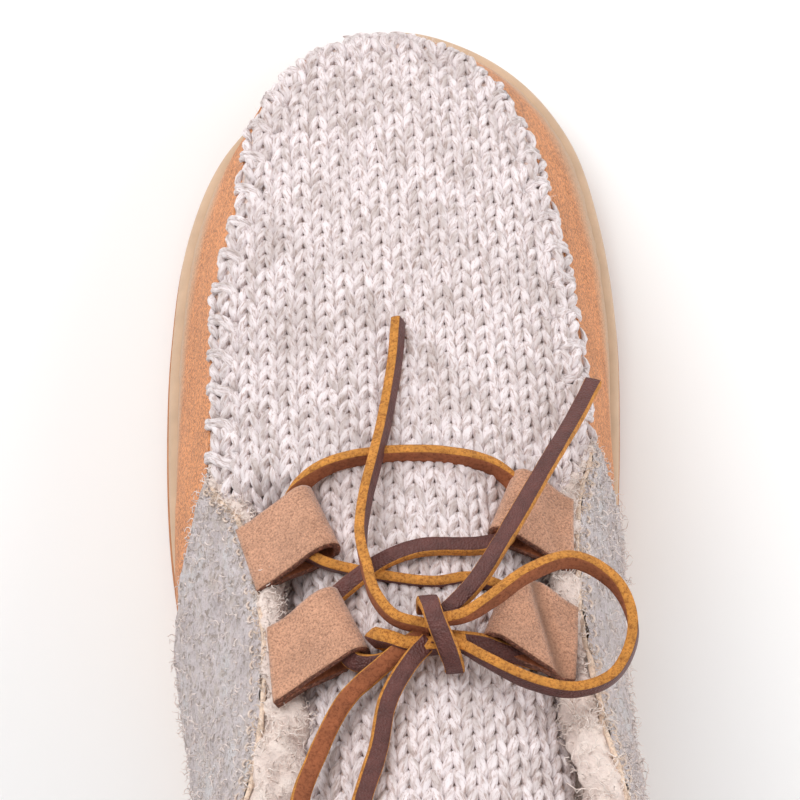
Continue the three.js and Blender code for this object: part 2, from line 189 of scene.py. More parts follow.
def ease(low, high, value):
    """0 below low and 1 above high, with a soft step between."""
    x = np.clip((value - low) / (high - low), 0, 1)
    return x * x * (3 - 2 * x)


def run_along(path):
    """Distance from a path's start to each of its points."""
    return np.concatenate([[0], np.cumsum(np.linalg.norm(np.diff(path, axis=0), axis=1))])


def ring(lateral, medial):
    """Rows of the lateral side from the toe to the heel, and then those of the medial side back."""
    return np.array(list(lateral) + list(medial)[-2:0:-1], float)


TRIMS = [row[5:7] for row in TOP_LINE]
edge_curve = smooth_curve(ring([(lateral, s - MIDDLE, 0) for s, lateral, _ in SOLE_EDGE],
                               [(medial, s - MIDDLE, 0) for s, _, medial in SOLE_EDGE]), closed=True)
top_curve = smooth_curve(ring([(row[1], row[0] - MIDDLE, row[4]) for row in TOP_LINE],
                              [(row[3], row[2] - MIDDLE, row[4]) for row in TOP_LINE]), closed=True)
trim_curve = smooth_curve(ring(TRIMS, TRIMS), closed=True, even=True)


def outward(t):
    """Level unit vectors out of the sole's edge."""
    along = edge_curve(t + 1e-4) - edge_curve(t - 1e-4)
    return unit(np.stack([along[:, 1], -along[:, 0], np.zeros(len(along))], axis=1))


def lift(s):
    """Height of the outsole's underside."""
    spring = TOE_SPRING * np.maximum(0, (SPRING_END - s) / SPRING_END) ** 2
    along = np.clip((s - ARCH_START) / (ARCH_END - ARCH_START), 0, 1)
    bevel = HEEL_BEVEL * np.maximum(0, (s - BEVEL_START) / (LENGTH - BEVEL_START)) ** 2
    return spring + ARCH_LIFT * np.sin(np.pi * along) ** 2 + bevel


def sole_top(s):
    """Height of the midsole's top."""
    sprung = lift(s) * (1 - ease(ARCH_START, ARCH_END, s))
    return sprung + FOREFOOT_HEIGHT + HEEL_WEDGE * ease(WEDGE_START, WEDGE_END, s)


def edge_point(t, inset):
    """A point of the sole's edge, moved in by the inset."""
    return edge_curve(t) - outward(t) * np.reshape(inset, (-1, 1))


def wall_point(t, v, slack=0.0):
    """The upper's outer surface, with v from the sole to the top line. slack is bulge that is lost."""
    t, v = np.broadcast_arrays(np.atleast_1d(np.asarray(t, float)), np.asarray(v, float))
    base = edge_point(t, LEDGE)
    base[:, 2] = sole_top(base[:, 1] + MIDDLE) + CLEAR
    bulge = (trim_curve(t)[:, 0] - slack) * np.sin(np.pi * np.clip(v, 0, 1) ** BULGE_POWER)
    return base + (top_curve(t) - base) * v[:, None] + outward(t) * bulge[:, None]


def wall_normal(t, v, slack=0.0):
    """Unit vectors out of the upper's outer surface."""
    t, v = np.broadcast_arrays(np.atleast_1d(np.asarray(t, float)), np.asarray(v, float))
    low = np.clip(v - 1e-3, 0.02, 0.998)
    round_foot = wall_point(t + 1e-3, v, slack) - wall_point(t - 1e-3, v, slack)
    return unit(np.cross(round_foot, wall_point(t, low + 2e-3, slack) - wall_point(t, low, slack)))


def inner_point(t, v, thick=WALL):
    """The inside of the wall. Under the apron it also stops a wall's thickness lower."""
    t, v = np.broadcast_arrays(np.atleast_1d(np.asarray(t, float)), np.asarray(v, float))
    posts = np.minimum(t % 1, 1 - t % 1) * POSTS
    closed = 1 - ease(6.5, 8, posts)
    height = top_curve(t)[:, 2] - wall_point(t, 0)[:, 2]
    reach = v * (1 - closed * thick / height)
    side = outward(t)
    towards = unit(side + (wall_normal(t, reach) - side) * np.minimum(1, v * 4)[:, None])
    return wall_point(t, reach) - towards * thick


# The apron's seam: each side of it from the toe to the throat, and the whole of it from the medial side
SIDE_T = np.linspace(0, THROAT, 160)
LATERAL_SIDE, MEDIAL_SIDE = top_curve(SIDE_T), top_curve(-SIDE_T)
SIDE_CROWN = trim_curve(SIDE_T)[:, 1]
SEAM_T = np.linspace(-THROAT, THROAT, 481)
SEAM = top_curve(SEAM_T)
SEAM_RUN = run_along(SEAM)
# The tongue's rows, and the top line's two sides from the toe to RIM_END
TONGUE_ROWS = smooth_curve(TONGUE, even=True)(np.linspace(0, 1, 400))
RIM_T = np.linspace(0, RIM_END, 200)
RIMS = top_curve(RIM_T), top_curve(-RIM_T)


def apron_height(x, s):
    """Height of the apron's surface, carried on level past its seams."""
    y = s - MIDDLE
    (xl, zl, cl), (xm, zm, cm) = (
        [np.interp(y, side[:, 1], column) for column in (side[:, 0], side[:, 2], SIDE_CROWN)]
        for side in (LATERAL_SIDE, MEDIAL_SIDE)
    )
    q = np.clip((x - xm) / np.maximum(xl - xm, 1e-6), 0, 1)
    return zm + (zl - zm) * q + (cl + cm) / 2 * (1 - np.abs(2 * q - 1) ** APRON_ROUNDNESS)


def seam_place(x, s):
    """How far points lie inside the apron's seam in plan, how far round it, and its height there."""
    y = s - MIDDLE
    inside = np.empty(len(x))
    run = np.empty(len(x))
    height = np.empty(len(x))
    along = unit(np.gradient(SEAM[:, :2], axis=0))
    # in parts, so that the table of distances stays small
    for part in np.array_split(np.arange(len(x)), max(1, len(x) // 4000)):
        gap = np.stack([x[part, None] - SEAM[:, 0], y[part, None] - SEAM[:, 1]], axis=2)
        near = np.argmin((gap**2).sum(axis=2), axis=1)
        offset = gap[np.arange(len(part)), near]
        inside[part] = along[near, 0] * offset[:, 1] - along[near, 1] * offset[:, 0]
        run[part] = SEAM_RUN[near]
        height[part] = SEAM[near, 2]
    return inside, run, height


def tongue_half(s):
    """Half the tongue's width."""
    return np.interp(s, TONGUE_ROWS[:, 0], TONGUE_ROWS[:, 2])


def rim_at(s, side):
    """x and height of the top line beside the throat, on the lateral side, 0, or the medial side, 1."""
    return tuple(np.interp(s - MIDDLE, RIMS[side][:, 1], RIMS[side][:, k]) for k in (0, 2))


def tongue_height(x, s):
    """Height of the tongue's face. It meets the rim where the throat is wider, and the apron in front."""
    ridge, half, fall = (np.interp(s, TONGUE_ROWS[:, 0], column) for column in TONGUE_ROWS[:, 1:].T)
    side = np.abs((x - TONGUE_CENTRE) / np.maximum(half, 1e-6))
    z = ridge - fall * np.minimum(side, 1) ** TONGUE_ROUNDNESS
    for which, way in ((0, 1), (1, -1)):
        rim, height = rim_at(s, which)
        edge = TONGUE_CENTRE + way * half
        gap = way * (rim - edge)
        over = np.clip(way * (x - edge) / np.maximum(gap, 1.0), 0, 1) * (gap > 1)
        z = z + (height + 0.4 - z) * over
    joined = 1 - ease(107, 118, s)
    front = apron_height(x, np.full(len(x), THROAT_STATION)) + 0.3 + (s - THROAT_STATION) * THROAT_SLOPE
    return z + (front - z) * joined


# Chance, kept the same in every run

def lattice(cells, seed):
    """A value from -1 to 1 for each cell of a grid."""
    h = cells[..., 0] * 374761393 + cells[..., 1] * 668265263 + cells[..., 2] * 2147483647 + seed * 974634777
    h = (h ^ (h >> 13)) * 1274126177
    return ((h ^ (h >> 16)) & 0xFFFF) / 32767.5 - 1


def noise(points, size, seed=0):
    """Smooth noise from -1 to 1 whose bumps are about size across."""
    p = np.asarray(points, float) / size + 1000
    cell = np.floor(p).astype(np.int64)
    f = p - cell
    f = f * f * (3 - 2 * f)
    total = 0
    for corner in range(8):
        step = np.array([corner & 1, corner >> 1 & 1, corner >> 2 & 1])
        weight = np.prod(np.where(step, f, 1 - f), axis=-1)
        total = total + weight * lattice(cell + step, seed)
    return total


# Meshes

def make_piece(name, points, faces, materials, *, slot, kinds=None, uv=None, fields=None):
    """A piece of the slipper from points in millimetres.

    faces are index arrays, kinds their places in materials, and fields numbers for each point.
    """
    faces = [f for f in faces if len(f)]
    mesh = bpy.data.meshes.new(name)
    mesh.vertices.add(len(points))
    mesh.vertices.foreach_set("co", (np.asarray(points, float) * 0.001).astype(np.float32).ravel())
    corners = np.concatenate([f.ravel() for f in faces]).astype(np.int32)
    sizes = np.concatenate([np.full(len(f), f.shape[1]) for f in faces])
    mesh.loops.add(len(corners))
    mesh.loops.foreach_set("vertex_index", corners)
    mesh.polygons.add(len(sizes))
    mesh.polygons.foreach_set("loop_start", np.concatenate([[0], np.cumsum(sizes)[:-1]]).astype(np.int32))
    mesh.polygons.foreach_set("use_smooth", np.ones(len(sizes), bool))
    for material in materials:
        mesh.materials.append(material)
    if kinds is not None:
        mesh.polygons.foreach_set("material_index", np.asarray(kinds, np.int32))
    mesh.update(calc_edges=True)
    if uv is not None:
        mesh.uv_layers.new(name="Run").data.foreach_set("uv", np.asarray(uv, np.float32).ravel())
    for key, values in (fields or {}).items():
        mesh.attributes.new(key, "FLOAT", "POINT").data.foreach_set("value", np.asarray(values, np.float32))
    mesh.validate()
    piece = bpy.data.objects.new(name, mesh)
    bpy.context.scene.collection.objects.link(piece)
    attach(piece, "root")
    return piece


def grid_faces(rows, columns, round_rows=False, round_columns=False, start=0):
    """Quads of a grid of points, row by row."""
    i = np.arange(rows if round_rows else rows - 1)[:, None]
    j = np.arange(columns if round_columns else columns - 1)[None, :]
    i2, j2 = (i + 1) % rows, (j + 1) % columns
    quads = np.stack([i * columns + j, i * columns + j2, i2 * columns + j2, i2 * columns + j], axis=-1)
    return quads.reshape(-1, 4) + start


def thick_sheet_faces(rows, columns):
    """Faces of two grids of points, one behind the other: the face, the back and the cut edge."""
    count = rows * columns
    face = grid_faces(rows, columns)
    edge = np.concatenate([
        np.arange(columns), np.arange(1, rows) * columns + columns - 1,
        (rows - 1) * columns + np.arange(columns - 2, -1, -1), np.arange(rows - 2, 0, -1) * columns,
    ])
    after = np.roll(edge, -1)
    return [face, face[:, ::-1] + count, np.stack([edge, edge + count, after + count, after], axis=1)]


def shell(name, point_rows, material, slot, fields=None):
    """A surface from a grid of points."""
    rows, columns = point_rows.shape[:2]
    return make_piece(name, point_rows.reshape(-1, 3), [grid_faces(rows, columns)], [material],
                      fields=fields, slot=slot)


def frames(path, normal):
    """Unit vectors along a path, up from its surface and across it."""
    along = unit(np.gradient(path, axis=0))
    up = unit(normal - along * (normal * along).sum(axis=1, keepdims=True))
    return along, up, np.cross(along, up)


class Strands:
    """Gathers many tubes into one mesh."""

    GAP = 3.7  # added to the run between two tubes, so that no two are flecked alike

    def __init__(self, sides):
        self.sides = sides
        self.points, self.faces, self.uv = [], [], []
        self.count = 0
        self.run = 0.0

    def add(self, path, normal, radius, flat=1.0):
        """One tube; flat squeezes it towards the surface that it lies on."""
        _, up, across = frames(path, normal)
        turn = 2 * np.pi * np.arange(self.sides) / self.sides
        radius = np.broadcast_to(np.asarray(radius, float), (len(path),))[:, None, None]
        ringed = across[:, None] * np.cos(turn)[:, None] + up[:, None] * (np.sin(turn) * flat)[:, None]
        self.points.append((path[:, None] + ringed * radius).reshape(-1, 3))
        self.faces.append(grid_faces(len(path), self.sides, round_columns=True, start=self.count))
        self.count += len(path) * self.sides
        run = self.run + run_along(path)
        self.run = run[-1] + self.GAP
        u = np.repeat(run[:-1], self.sides), np.repeat(run[1:], self.sides)
        v = np.tile(np.arange(self.sides) / self.sides, len(path) - 1)
        w = v + 1 / self.sides
        corners = ((u[0], v), (u[0], w), (u[1], w), (u[1], v))
        self.uv.append(np.stack([np.stack(corner, axis=1) for corner in corners], axis=1))

    def piece(self, name, material, slot):
        return make_piece(name, np.concatenate(self.points), [np.concatenate(self.faces)], [material],
                          uv=np.concatenate(self.uv).reshape(-1, 2), slot=slot)


def hairs(name, roots, directions, lengths, width, material, slot, seed, bend=0.5):
    """Short flat fibres standing on a surface."""
    rng = np.random.default_rng(seed)
    steps = np.array([0, 0.5, 1.0])
    drift = unit(rng.normal(size=roots.shape))
    across = unit(np.cross(directions, drift)) * width / 2
    path = (roots[:, None] + directions[:, None] * (lengths[:, None] * steps)[:, :, None]
            + drift[:, None] * (lengths[:, None] * bend * steps**2)[:, :, None])
    taper = np.array([1.0, 0.8, 0.25])[:, None]
    pair = np.stack([path - across[:, None] * taper, path + across[:, None] * taper], axis=2)
    base = 6 * np.arange(len(roots))[:, None]
    faces = np.concatenate([base + np.array([0, 1, 3, 2]), base + np.array([2, 3, 5, 4])])
    return make_piece(name, pair.reshape(-1, 3), [faces], [material], slot=slot)


def curls(name, roots, normals, lengths, radius, material, slot, seed, stand=0.9):
    """Curled locks of wool on a surface."""
    rng = np.random.default_rng(seed)
    strands = Strands(3)
    steps = np.linspace(0, 1, 7)
    for root, up, long in zip(roots, normals, lengths):
        way = unit((up * rng.uniform(0.1, stand) + rng.normal(scale=0.7, size=3))[None])[0]
        side = unit(np.cross(way, up + 0.01)[None])[0]
        other = np.cross(way, side)
        size = rng.uniform(0.12, 0.26) * long
        turn = rng.uniform(0, 6.28) + steps * rng.uniform(4, 9)
        path = (root + way * (steps * long)[:, None]
                + up * (0.3 * long * stand * np.sin(steps * 3.1))[:, None]
                + side * (size * np.cos(turn))[:, None] + other * (size * np.sin(turn))[:, None])
        strands.add(path, np.tile(up, (7, 1)), radius * (1 - 0.7 * steps))
    return strands.piece(name, material, slot)


# Materials

WHITE = (1, 1, 1)


def grey(value):
    return (value, value, value)


def shade(colour, factor):
    """The colour made lighter or darker."""
    return tuple(min(1.0, c * factor) for c in colour)


class Finish:
    """A material and a short way to add its nodes. made is true where it was there already."""

    def __init__(self, name, colour, roughness, **sockets):
        self.material = bpy.data.materials.get(name)
        self.made = self.material is not None
        if self.made:
            return
        self.material = bpy.data.materials.new(name)
        self.material.use_nodes = True
        self.tree = self.material.node_tree
        self.shader = self.tree.nodes["Principled BSDF"]
        self.shader.inputs["Base Color"].default_value = (*colour, 1)
        self.shader.inputs["Roughness"].default_value = roughness
        for key, value in sockets.items():
            self.shader.inputs[key.replace("_", " ")].default_value = value

    def node(self, kind, inputs=(), **settings):
        node = self.tree.nodes.new("ShaderNode" + kind)
        for key, value in settings.items():
            setattr(node, key, value)
        for key, value in dict(inputs).items():
            if isinstance(value, bpy.types.NodeSocket):
                self.tree.links.new(value, node.inputs[key])
            else:
                node.inputs[key].default_value = value
        return node

    def place(self):
        return self.node("TexCoord").outputs["Object"]

    def field(self, name):
        """The numbers that a mesh's points hold under a name."""
        return self.node("Attribute", attribute_name=name).outputs["Fac"]

    def grain(self, size, detail=3.0, rough=0.6):
        """Noise whose bumps are about size across, in metres."""
        inputs = {"Vector": self.place(), "Scale": 1 / size, "Detail": detail, "Roughness": rough}
        return self.node("TexNoise", inputs).outputs["Fac"]

    def ramp(self, fac, stops):
        """Colours at places from 0 to 1."""
        node = self.node("ValToRGB", {"Fac": fac})
        ramp = node.color_ramp
        for place, colour in stops[1:-1]:
            ramp.elements.new(place).color = (*colour, 1)
        ramp.elements[0].position, ramp.elements[-1].position = stops[0][0], stops[-1][0]
        ramp.elements[0].color, ramp.elements[-1].color = (*stops[0][1], 1), (*stops[-1][1], 1)
        return node.outputs["Color"]

    def tones(self, fac, colour, *stops):
        """Shades of one colour, each at its place."""
        return self.ramp(fac, [(place, shade(colour, factor)) for place, factor in stops])

    def mask(self, fac, low, high, most):
        """0 where fac is below low, and most where it is above high."""
        return self.ramp(fac, [(low, grey(0)), (high, grey(most))])

    def darken(self, amount, base, fac, low, high, colour):
        """base times the colour where fac is below low, and unchanged where it is above high."""
        return self.mix(amount, base, self.ramp(fac, [(low, colour), (high, WHITE)]), "MULTIPLY")

    def mix(self, fac, a, b, blend="MIX"):
        node = self.node("Mix", data_type="RGBA", blend_type=blend)
        for socket, value in ((node.inputs[0], fac), (node.inputs[6], a), (node.inputs[7], b)):
            if isinstance(value, bpy.types.NodeSocket):
                self.tree.links.new(value, socket)
            else:
                socket.default_value = (*value, 1) if isinstance(value, (tuple, list)) else value
        return node.outputs[2]

    def math(self, operation, a, b=0.5, c=0.5, clamp=False):
        return self.node("Math", {0: a, 1: b, 2: c}, operation=operation, use_clamp=clamp).outputs[0]

    def colour(self, socket):
        self.tree.links.new(socket, self.shader.inputs["Base Color"])

    def bump(self, height, distance, strength=1.0):
        """Bumps on top of those that the material has already."""
        node = self.node("Bump", {"Height": height, "Distance": distance, "Strength": strength})
        if self.shader.inputs["Normal"].links:
            below = self.shader.inputs["Normal"].links[0].from_socket
            self.tree.links.new(below, node.inputs["Normal"])
        self.tree.links.new(node.outputs["Normal"], self.shader.inputs["Normal"])


def yarn_finish():
    """Two-ply oatmeal wool, flecked with taupe; the plies follow the yarn's own run, with painted shade in
    the grooves between them.
    """
    look = bpy.context.scene.slipper_colours
    light, fleck = tuple(look.yarn), tuple(look.fleck)
    f = Finish("marled yarn", light, 0.92, Sheen_Weight=0.35, Sheen_Roughness=0.6)
    if f.made:
        return f.material
    plies, twist = 2.0, 0.26
    run = f.node("UVMap", uv_map="Run").outputs[0]
    split = f.node("SeparateXYZ", {0: run})
    turn = f.math("MULTIPLY_ADD", split.outputs[0], twist, f.math("MULTIPLY", split.outputs[1], plies))
    groove = f.math("MULTIPLY_ADD", f.math("SINE", f.math("MULTIPLY", turn, 2 * math.pi)), 0.5, 0.5)

    def streaks(scale, detail, rough):
        along = f.node("Mapping", {"Vector": run, "Scale": scale}).outputs[0]
        inputs = {"Vector": along, "Scale": 1.0, "Detail": detail, "Roughness": rough}
        return f.node("TexNoise", inputs).outputs["Fac"]

    fibre = streaks((0.55, 11.0, 1.0), 4.0, 0.7)
    long_run = streaks((0.16, 2.2, 1.0), 2.0, 0.6)
    halfway = tuple(0.4 * a + 0.6 * b for a, b in zip(light, fleck))
    base = f.ramp(long_run, [(0.34, halfway), (0.5, light), (0.8, shade(light, 1.1))])
    base = f.mix(f.mask(f.grain(0.011), 0.48, 0.68, 0.6), base, halfway)
    base = f.darken(0.85, base, fibre, 0.36, 0.5, (0.5, 0.38, 0.33))
    # painted shade: darker in the grooves between the plies
    base = f.darken(0.5, base, groove, 0.0, 0.22, (0.66, 0.57, 0.53))
    f.colour(base)
    f.bump(groove, 0.0003, 0.5)
    f.bump(fibre, 0.0003, 0.9)
    return f.material


def shaded_backing_finish():
    """The wool behind the stitches, painted in taupe tones darker than the yarn for the shade that falls
    between the stitches.
    """
    fleck = tuple(bpy.context.scene.slipper_colours.fleck)
    f = Finish("inner yarn", shade(fleck, 0.5), 1.0)
    if not f.made:
        # painted shade: taupe tones darker than the yarn, seen in the gaps between stitches
        f.colour(f.tones(f.grain(0.0012), fleck, (0.3, 1.4), (0.7, 1.9)))
        f.bump(f.grain(0.0008), 0.0005)
    return f.material


def fuzz_finish(name, colour):
    """Loose fibres of wool."""
    f = Finish(name, colour, 0.9, Sheen_Weight=0.3)
    if not f.made:
        f.colour(f.tones(f.grain(0.004, 1.0), colour, (0.3, 0.78), (0.7, 1)))
    return f.material


def felt_finish():
    """Felted wool: mottled, fuzzy, with small taupe pits and blond patches."""
    colour = tuple(bpy.context.scene.slipper_colours.felt)
    pit, blond = (0.36, 0.265, 0.21), (0.82, 0.70, 0.62)
    f = Finish("felted wool", colour, 1.0, Sheen_Weight=0.8, Sheen_Roughness=0.5,
               Sheen_Tint=(1, 0.91, 0.90, 1))
    if f.made:
        return f.material
    patch = f.grain(0.009)
    curl = f.grain(0.0016, 5.0, 0.75)
    base = f.tones(patch, colour, (0.3, 0.78), (0.5, 1), (0.68, 1.1))
    base = f.mix(f.ramp(curl, [(0.39, grey(0.95)), (0.5, grey(0))]), base, pit)
    base = f.mix(f.mask(f.grain(0.0028, 4.0, 0.7), 0.52, 0.64, 0.7), base, blond)
    fine = f.grain(0.0006, 4.0, 0.8)
    base = f.darken(0.8, base, fine, 0.36, 0.54, (0.80, 0.74, 0.72))
    f.colour(base)
    f.bump(curl, 0.0014)
    f.bump(fine, 0.0005)
    return f.material


def fleece_finish():
    """Sheepskin wool in clumps."""
    colour = tuple(bpy.context.scene.slipper_colours.fleece)
    f = Finish("sheepskin fleece", colour, 0.95, Sheen_Weight=0.5, Sheen_Roughness=0.4,
               Sheen_Tint=(1, 0.88, 0.82, 1))
    if f.made:
        return f.material
    clump = f.grain(0.0035, 4.0, 0.65)
    f.colour(f.tones(clump, colour, (0.28, 0.74), (0.45, 0.96), (0.75, 1.1)))
    f.bump(clump, 0.0016, 0.8)
    f.bump(f.grain(0.0008, 4.0, 0.8), 0.0006, 0.8)
    return f.material


def suede_finish():
    """The vamp's suede, paling to the smooth band's colour at its foot by the field named pale, which is a
    painted sheen on the steep lower wall.
    """
    look = bpy.context.scene.slipper_colours
    suede, band = tuple(look.suede), tuple(look.band)
    f = Finish("vamp suede", suede, 0.95, Sheen_Weight=0.12, Sheen_Roughness=0.5)
    if f.made:
        return f.material
    nap = f.grain(0.0009, 4.0, 0.75)
    base = f.tones(f.grain(0.012, 2.0), suede, (0.3, 0.86), (0.55, 1), (0.75, 1.13))
    pale = f.field("pale")
    base = f.mix(f.mask(nap, 0.5, 0.64, 0.75), base, shade(suede, 1.5))
    ragged = f.math("MULTIPLY", pale, f.math("MULTIPLY_ADD", nap, 1.6, 0.25), clamp=True)
    # painted sheen: the band's colour mixed over the suede, and fewer specks, where the field named pale is
    # high near the wall's foot
    base = f.mix(ragged, base, band)
    specks = f.grain(0.0006, 2.0, 0.8)
    speckled = f.math("MULTIPLY_ADD", pale, -0.7, 0.8)
    f.colour(f.darken(speckled, base, specks, 0.42, 0.52, (0.40, 0.32, 0.29)))
    f.bump(nap, 0.0005, 0.85)
    return f.material


def foxing_finish():
    """The smooth beige band above the rubber."""
    band = tuple(bpy.context.scene.slipper_colours.band)
    f = Finish("beige band", band, 0.72, Sheen_Weight=0.1)
    if not f.made:
        f.colour(f.tones(f.grain(0.006, 4.0), band, (0.3, 0.9), (0.7, 1.06)))
        f.bump(f.grain(0.0006), 0.00012, 0.6)
    return f.material


def rubber_finish():
    """Gum rubber."""
    sole = tuple(bpy.context.scene.slipper_colours.sole)
    f = Finish("gum sole", sole, 0.75)
    if not f.made:
        f.colour(f.tones(f.grain(0.004, 4.0), sole, (0.3, 0.8), (0.7, 1.15)))
        f.bump(f.grain(0.0005, 2.0), 0.0001, 0.5)
    return f.material


def tab_finish():
    """The tabs' suede, with painted shade in its crease from the field named crease."""
    colour = tuple(bpy.context.scene.slipper_colours.tab)
    f = Finish("tab suede", colour, 0.95, Sheen_Weight=0.35, Sheen_Roughness=0.5)
    if f.made:
        return f.material
    base = f.tones(f.grain(0.007, 2.0), colour, (0.3, 0.86), (0.7, 1.12))
    fine = f.grain(0.0004, 2.0, 0.8)
    base = f.mix(f.mask(f.grain(0.00045, 2.0, 0.8), 0.52, 0.66, 0.6), base, shade(colour, 1.45))
    base = f.darken(0.9, base, fine, 0.36, 0.54, (0.5, 0.44, 0.41))
    # painted shade: darker where the field named crease is high
    f.colour(f.mix(f.field("crease"), base, shade(colour, 0.38)))
    f.bump(fine, 0.0003, 0.8)
    return f.material


def cut_finish():
    """The raw edge of a cut tab."""
    colour = tuple(bpy.context.scene.slipper_colours.cut_edge)
    f = Finish("cut suede edge", colour, 1.0)
    if not f.made:
        f.colour(f.tones(f.grain(0.0007, 4.0, 0.8), colour, (0.32, 0.4), (0.5, 1), (0.66, 2.6)))
        f.bump(f.grain(0.0006), 0.0006)
    return f.material


def grain_side_finish():
    """The lace's dark grain side, with its small round cells."""
    grain = tuple(bpy.context.scene.slipper_colours.lace_grain)
    f = Finish("lace grain", grain, 0.48, Specular_IOR_Level=0.4)
    if not f.made:
        cells = f.node("TexVoronoi", {"Vector": f.place(), "Scale": 2400.0, "Randomness": 1.0})
        f.colour(f.tones(f.grain(0.003), grain, (0.3, 0.75), (0.7, 1.25)))
        f.bump(cells.outputs["Distance"], 0.0003, 0.8)
    return f.material


def raw_leather(name, colour, roughness, cloud, darkest, fibre, pits, depth):
    """Uncoated leather: cloudy, with small pits of a colour between two levels of the fine noise."""
    f = Finish(name, colour, roughness)
    if not f.made:
        fine = f.grain(fibre, 4.0, 0.8)
        base = f.tones(f.grain(cloud), colour, (0.3, darkest), (0.7, 1.2))
        f.colour(f.darken(0.85, base, fine, *pits))
        f.bump(fine, depth, 0.8)
    return f.material


def lace_finishes():
    """Grain side, cut edge and flesh side of the lace."""
    look = bpy.context.scene.slipper_colours
    edge = raw_leather("lace edge", tuple(look.lace_edge), 0.85, 0.003, 0.8, 0.0006,
                       (0.38, 0.54, (0.42, 0.3, 0.22)), 0.0003)
    flesh = raw_leather("lace flesh", tuple(look.lace_flesh), 0.95, 0.004, 0.78, 0.0007,
                        (0.33, 0.55, (0.45, 0.36, 0.33)), 0.00035)
    return [grain_side_finish(), edge, flesh]


def hide_finish():
    """The sheepskin's cut edge."""
    colour = tuple(bpy.context.scene.slipper_colours.hide_edge)
    f = Finish("hide edge", colour, 0.9)
    if not f.made:
        f.colour(f.tones(f.grain(0.0012, 4.0, 0.75), colour, (0.3, 0.55), (0.5, 1), (0.7, 1.2)))
        f.bump(f.grain(0.001), 0.0005)
    return f.material


def thread_finish():
    """The stitches below the hide's edge."""
    f = Finish("thread", (0.72, 0.58, 0.49), 0.8)
    if not f.made:
        f.colour(f.ramp(f.grain(0.0008), [(0.3, (0.58, 0.45, 0.37)), (0.7, (0.78, 0.66, 0.58))]))
    return f.material


# What the user can change

def length(name, description, default, low, high):
    """A length in metres."""
    return FloatProperty(name=name, description=description, default=default, min=low, max=high,
                         subtype="DISTANCE", unit="LENGTH", precision=5)


def angle(name, description, degrees):
    return FloatProperty(name=name, description=description, default=math.radians(degrees), subtype="ANGLE")


def tint(name, description, default):
    """A colour."""
    return FloatVectorProperty(name=name, description=description, default=default, size=3, min=0, max=1,
                               subtype="COLOR")


class SlipperSizes(bpy.types.PropertyGroup):
    """Sizes of the knit, the seams and the lace"""

    wale: length("Wale pitch", "Width of one column of stitches", 0.0039, 0.002, 0.008)
    course: length("Row pitch", "Height of one row of stitches", 0.00315, 0.002, 0.008)
    yarn: length("Yarn radius", "Radius of the knitting yarn", 0.00094, 0.0004, 0.002)
    whip: length("Whip stitch pitch", "Distance between the stitches round the apron", 0.0076, 0.003, 0.012)
    lace_width: length("Lace width", "Width of the flat lace", 0.0034, 0.002, 0.006)
    lace_thick: length("Lace thickness", "Thickness of the flat lace", 0.002, 0.001, 0.004)
    curls: IntProperty(name="Fleece curls", description="Number of curls on the rolled fleece",
                       default=3200, min=100, max=6000)


class SlipperColours(bpy.types.PropertyGroup):
    """Colours of the slipper's materials"""

    yarn: tint("Yarn", "Light yarn of the knit", (0.87, 0.785, 0.795))
    fleck: tint("Yarn fleck", "Darker flecks of the yarn", (0.42, 0.325, 0.285))
    felt: tint("Felt", "Felted wool of the quarters", (0.99, 0.88, 0.90))
    fleece: tint("Fleece", "Sheepskin fleece", (0.96, 0.80, 0.73))
    suede: tint("Suede", "Suede of the vamp", (0.72, 0.29, 0.112))
    band: tint("Band", "Beige band at the foot of the vamp", (0.60, 0.415, 0.28))
    sole: tint("Sole", "Gum rubber sole", (0.48, 0.20, 0.085))
    tab: tint("Tabs", "Suede of the lace tabs", (0.59, 0.31, 0.195))
    cut_edge: tint("Cut edge", "Raw edges of the tabs", (0.20, 0.085, 0.055))
    hide_edge: tint("Hide edge", "Sheepskin's edge along the throat", (0.80, 0.62, 0.49))
    lace_grain: tint("Lace grain", "Grain side of the lace", (0.115, 0.038, 0.032))
    lace_edge: tint("Lace edge", "Cut edges of the lace", (0.62, 0.26, 0.045))
    lace_flesh: tint("Lace flesh", "Flesh side of the lace", (0.33, 0.105, 0.042))


class SlipperStudio(bpy.types.PropertyGroup):
    """Camera and lights"""

    distance: FloatProperty(name="Camera distance", description="From the camera to the point it looks at",
                            default=0.52, min=0.2, max=2, subtype="DISTANCE", unit="LENGTH")
    tilt: angle("Tilt", "Lean of the view towards the heel", 13)
    yaw: angle("Yaw", "Lean of the view towards the lateral side", 1.5)
    roll: angle("Roll", "Turn of the picture", -2.5)
    lens: FloatProperty(name="Lens", description="Focal length for a 36 mm wide picture", default=116.8,
                        min=20, max=300)
    key: FloatProperty(name="Key light", description="Power of the large light at the toe's lateral side",
                       default=4.15, min=0, subtype="POWER")
    fill: FloatProperty(name="Fill light", description="Power of the light above", default=2.6, min=0,
                        subtype="POWER")
    sky: FloatProperty(name="Surround", description="Brightness of the white surround", default=0.60, min=0)


# Stage

VIEW_CENTRE = (0, 94, 57)  # x, station and height that the camera looks at
LIT_POINT = (0, -0.02, 0.05)  # in metres, like the lamps' places
PICTURE_WIDTH = 36  # of the camera's sensor


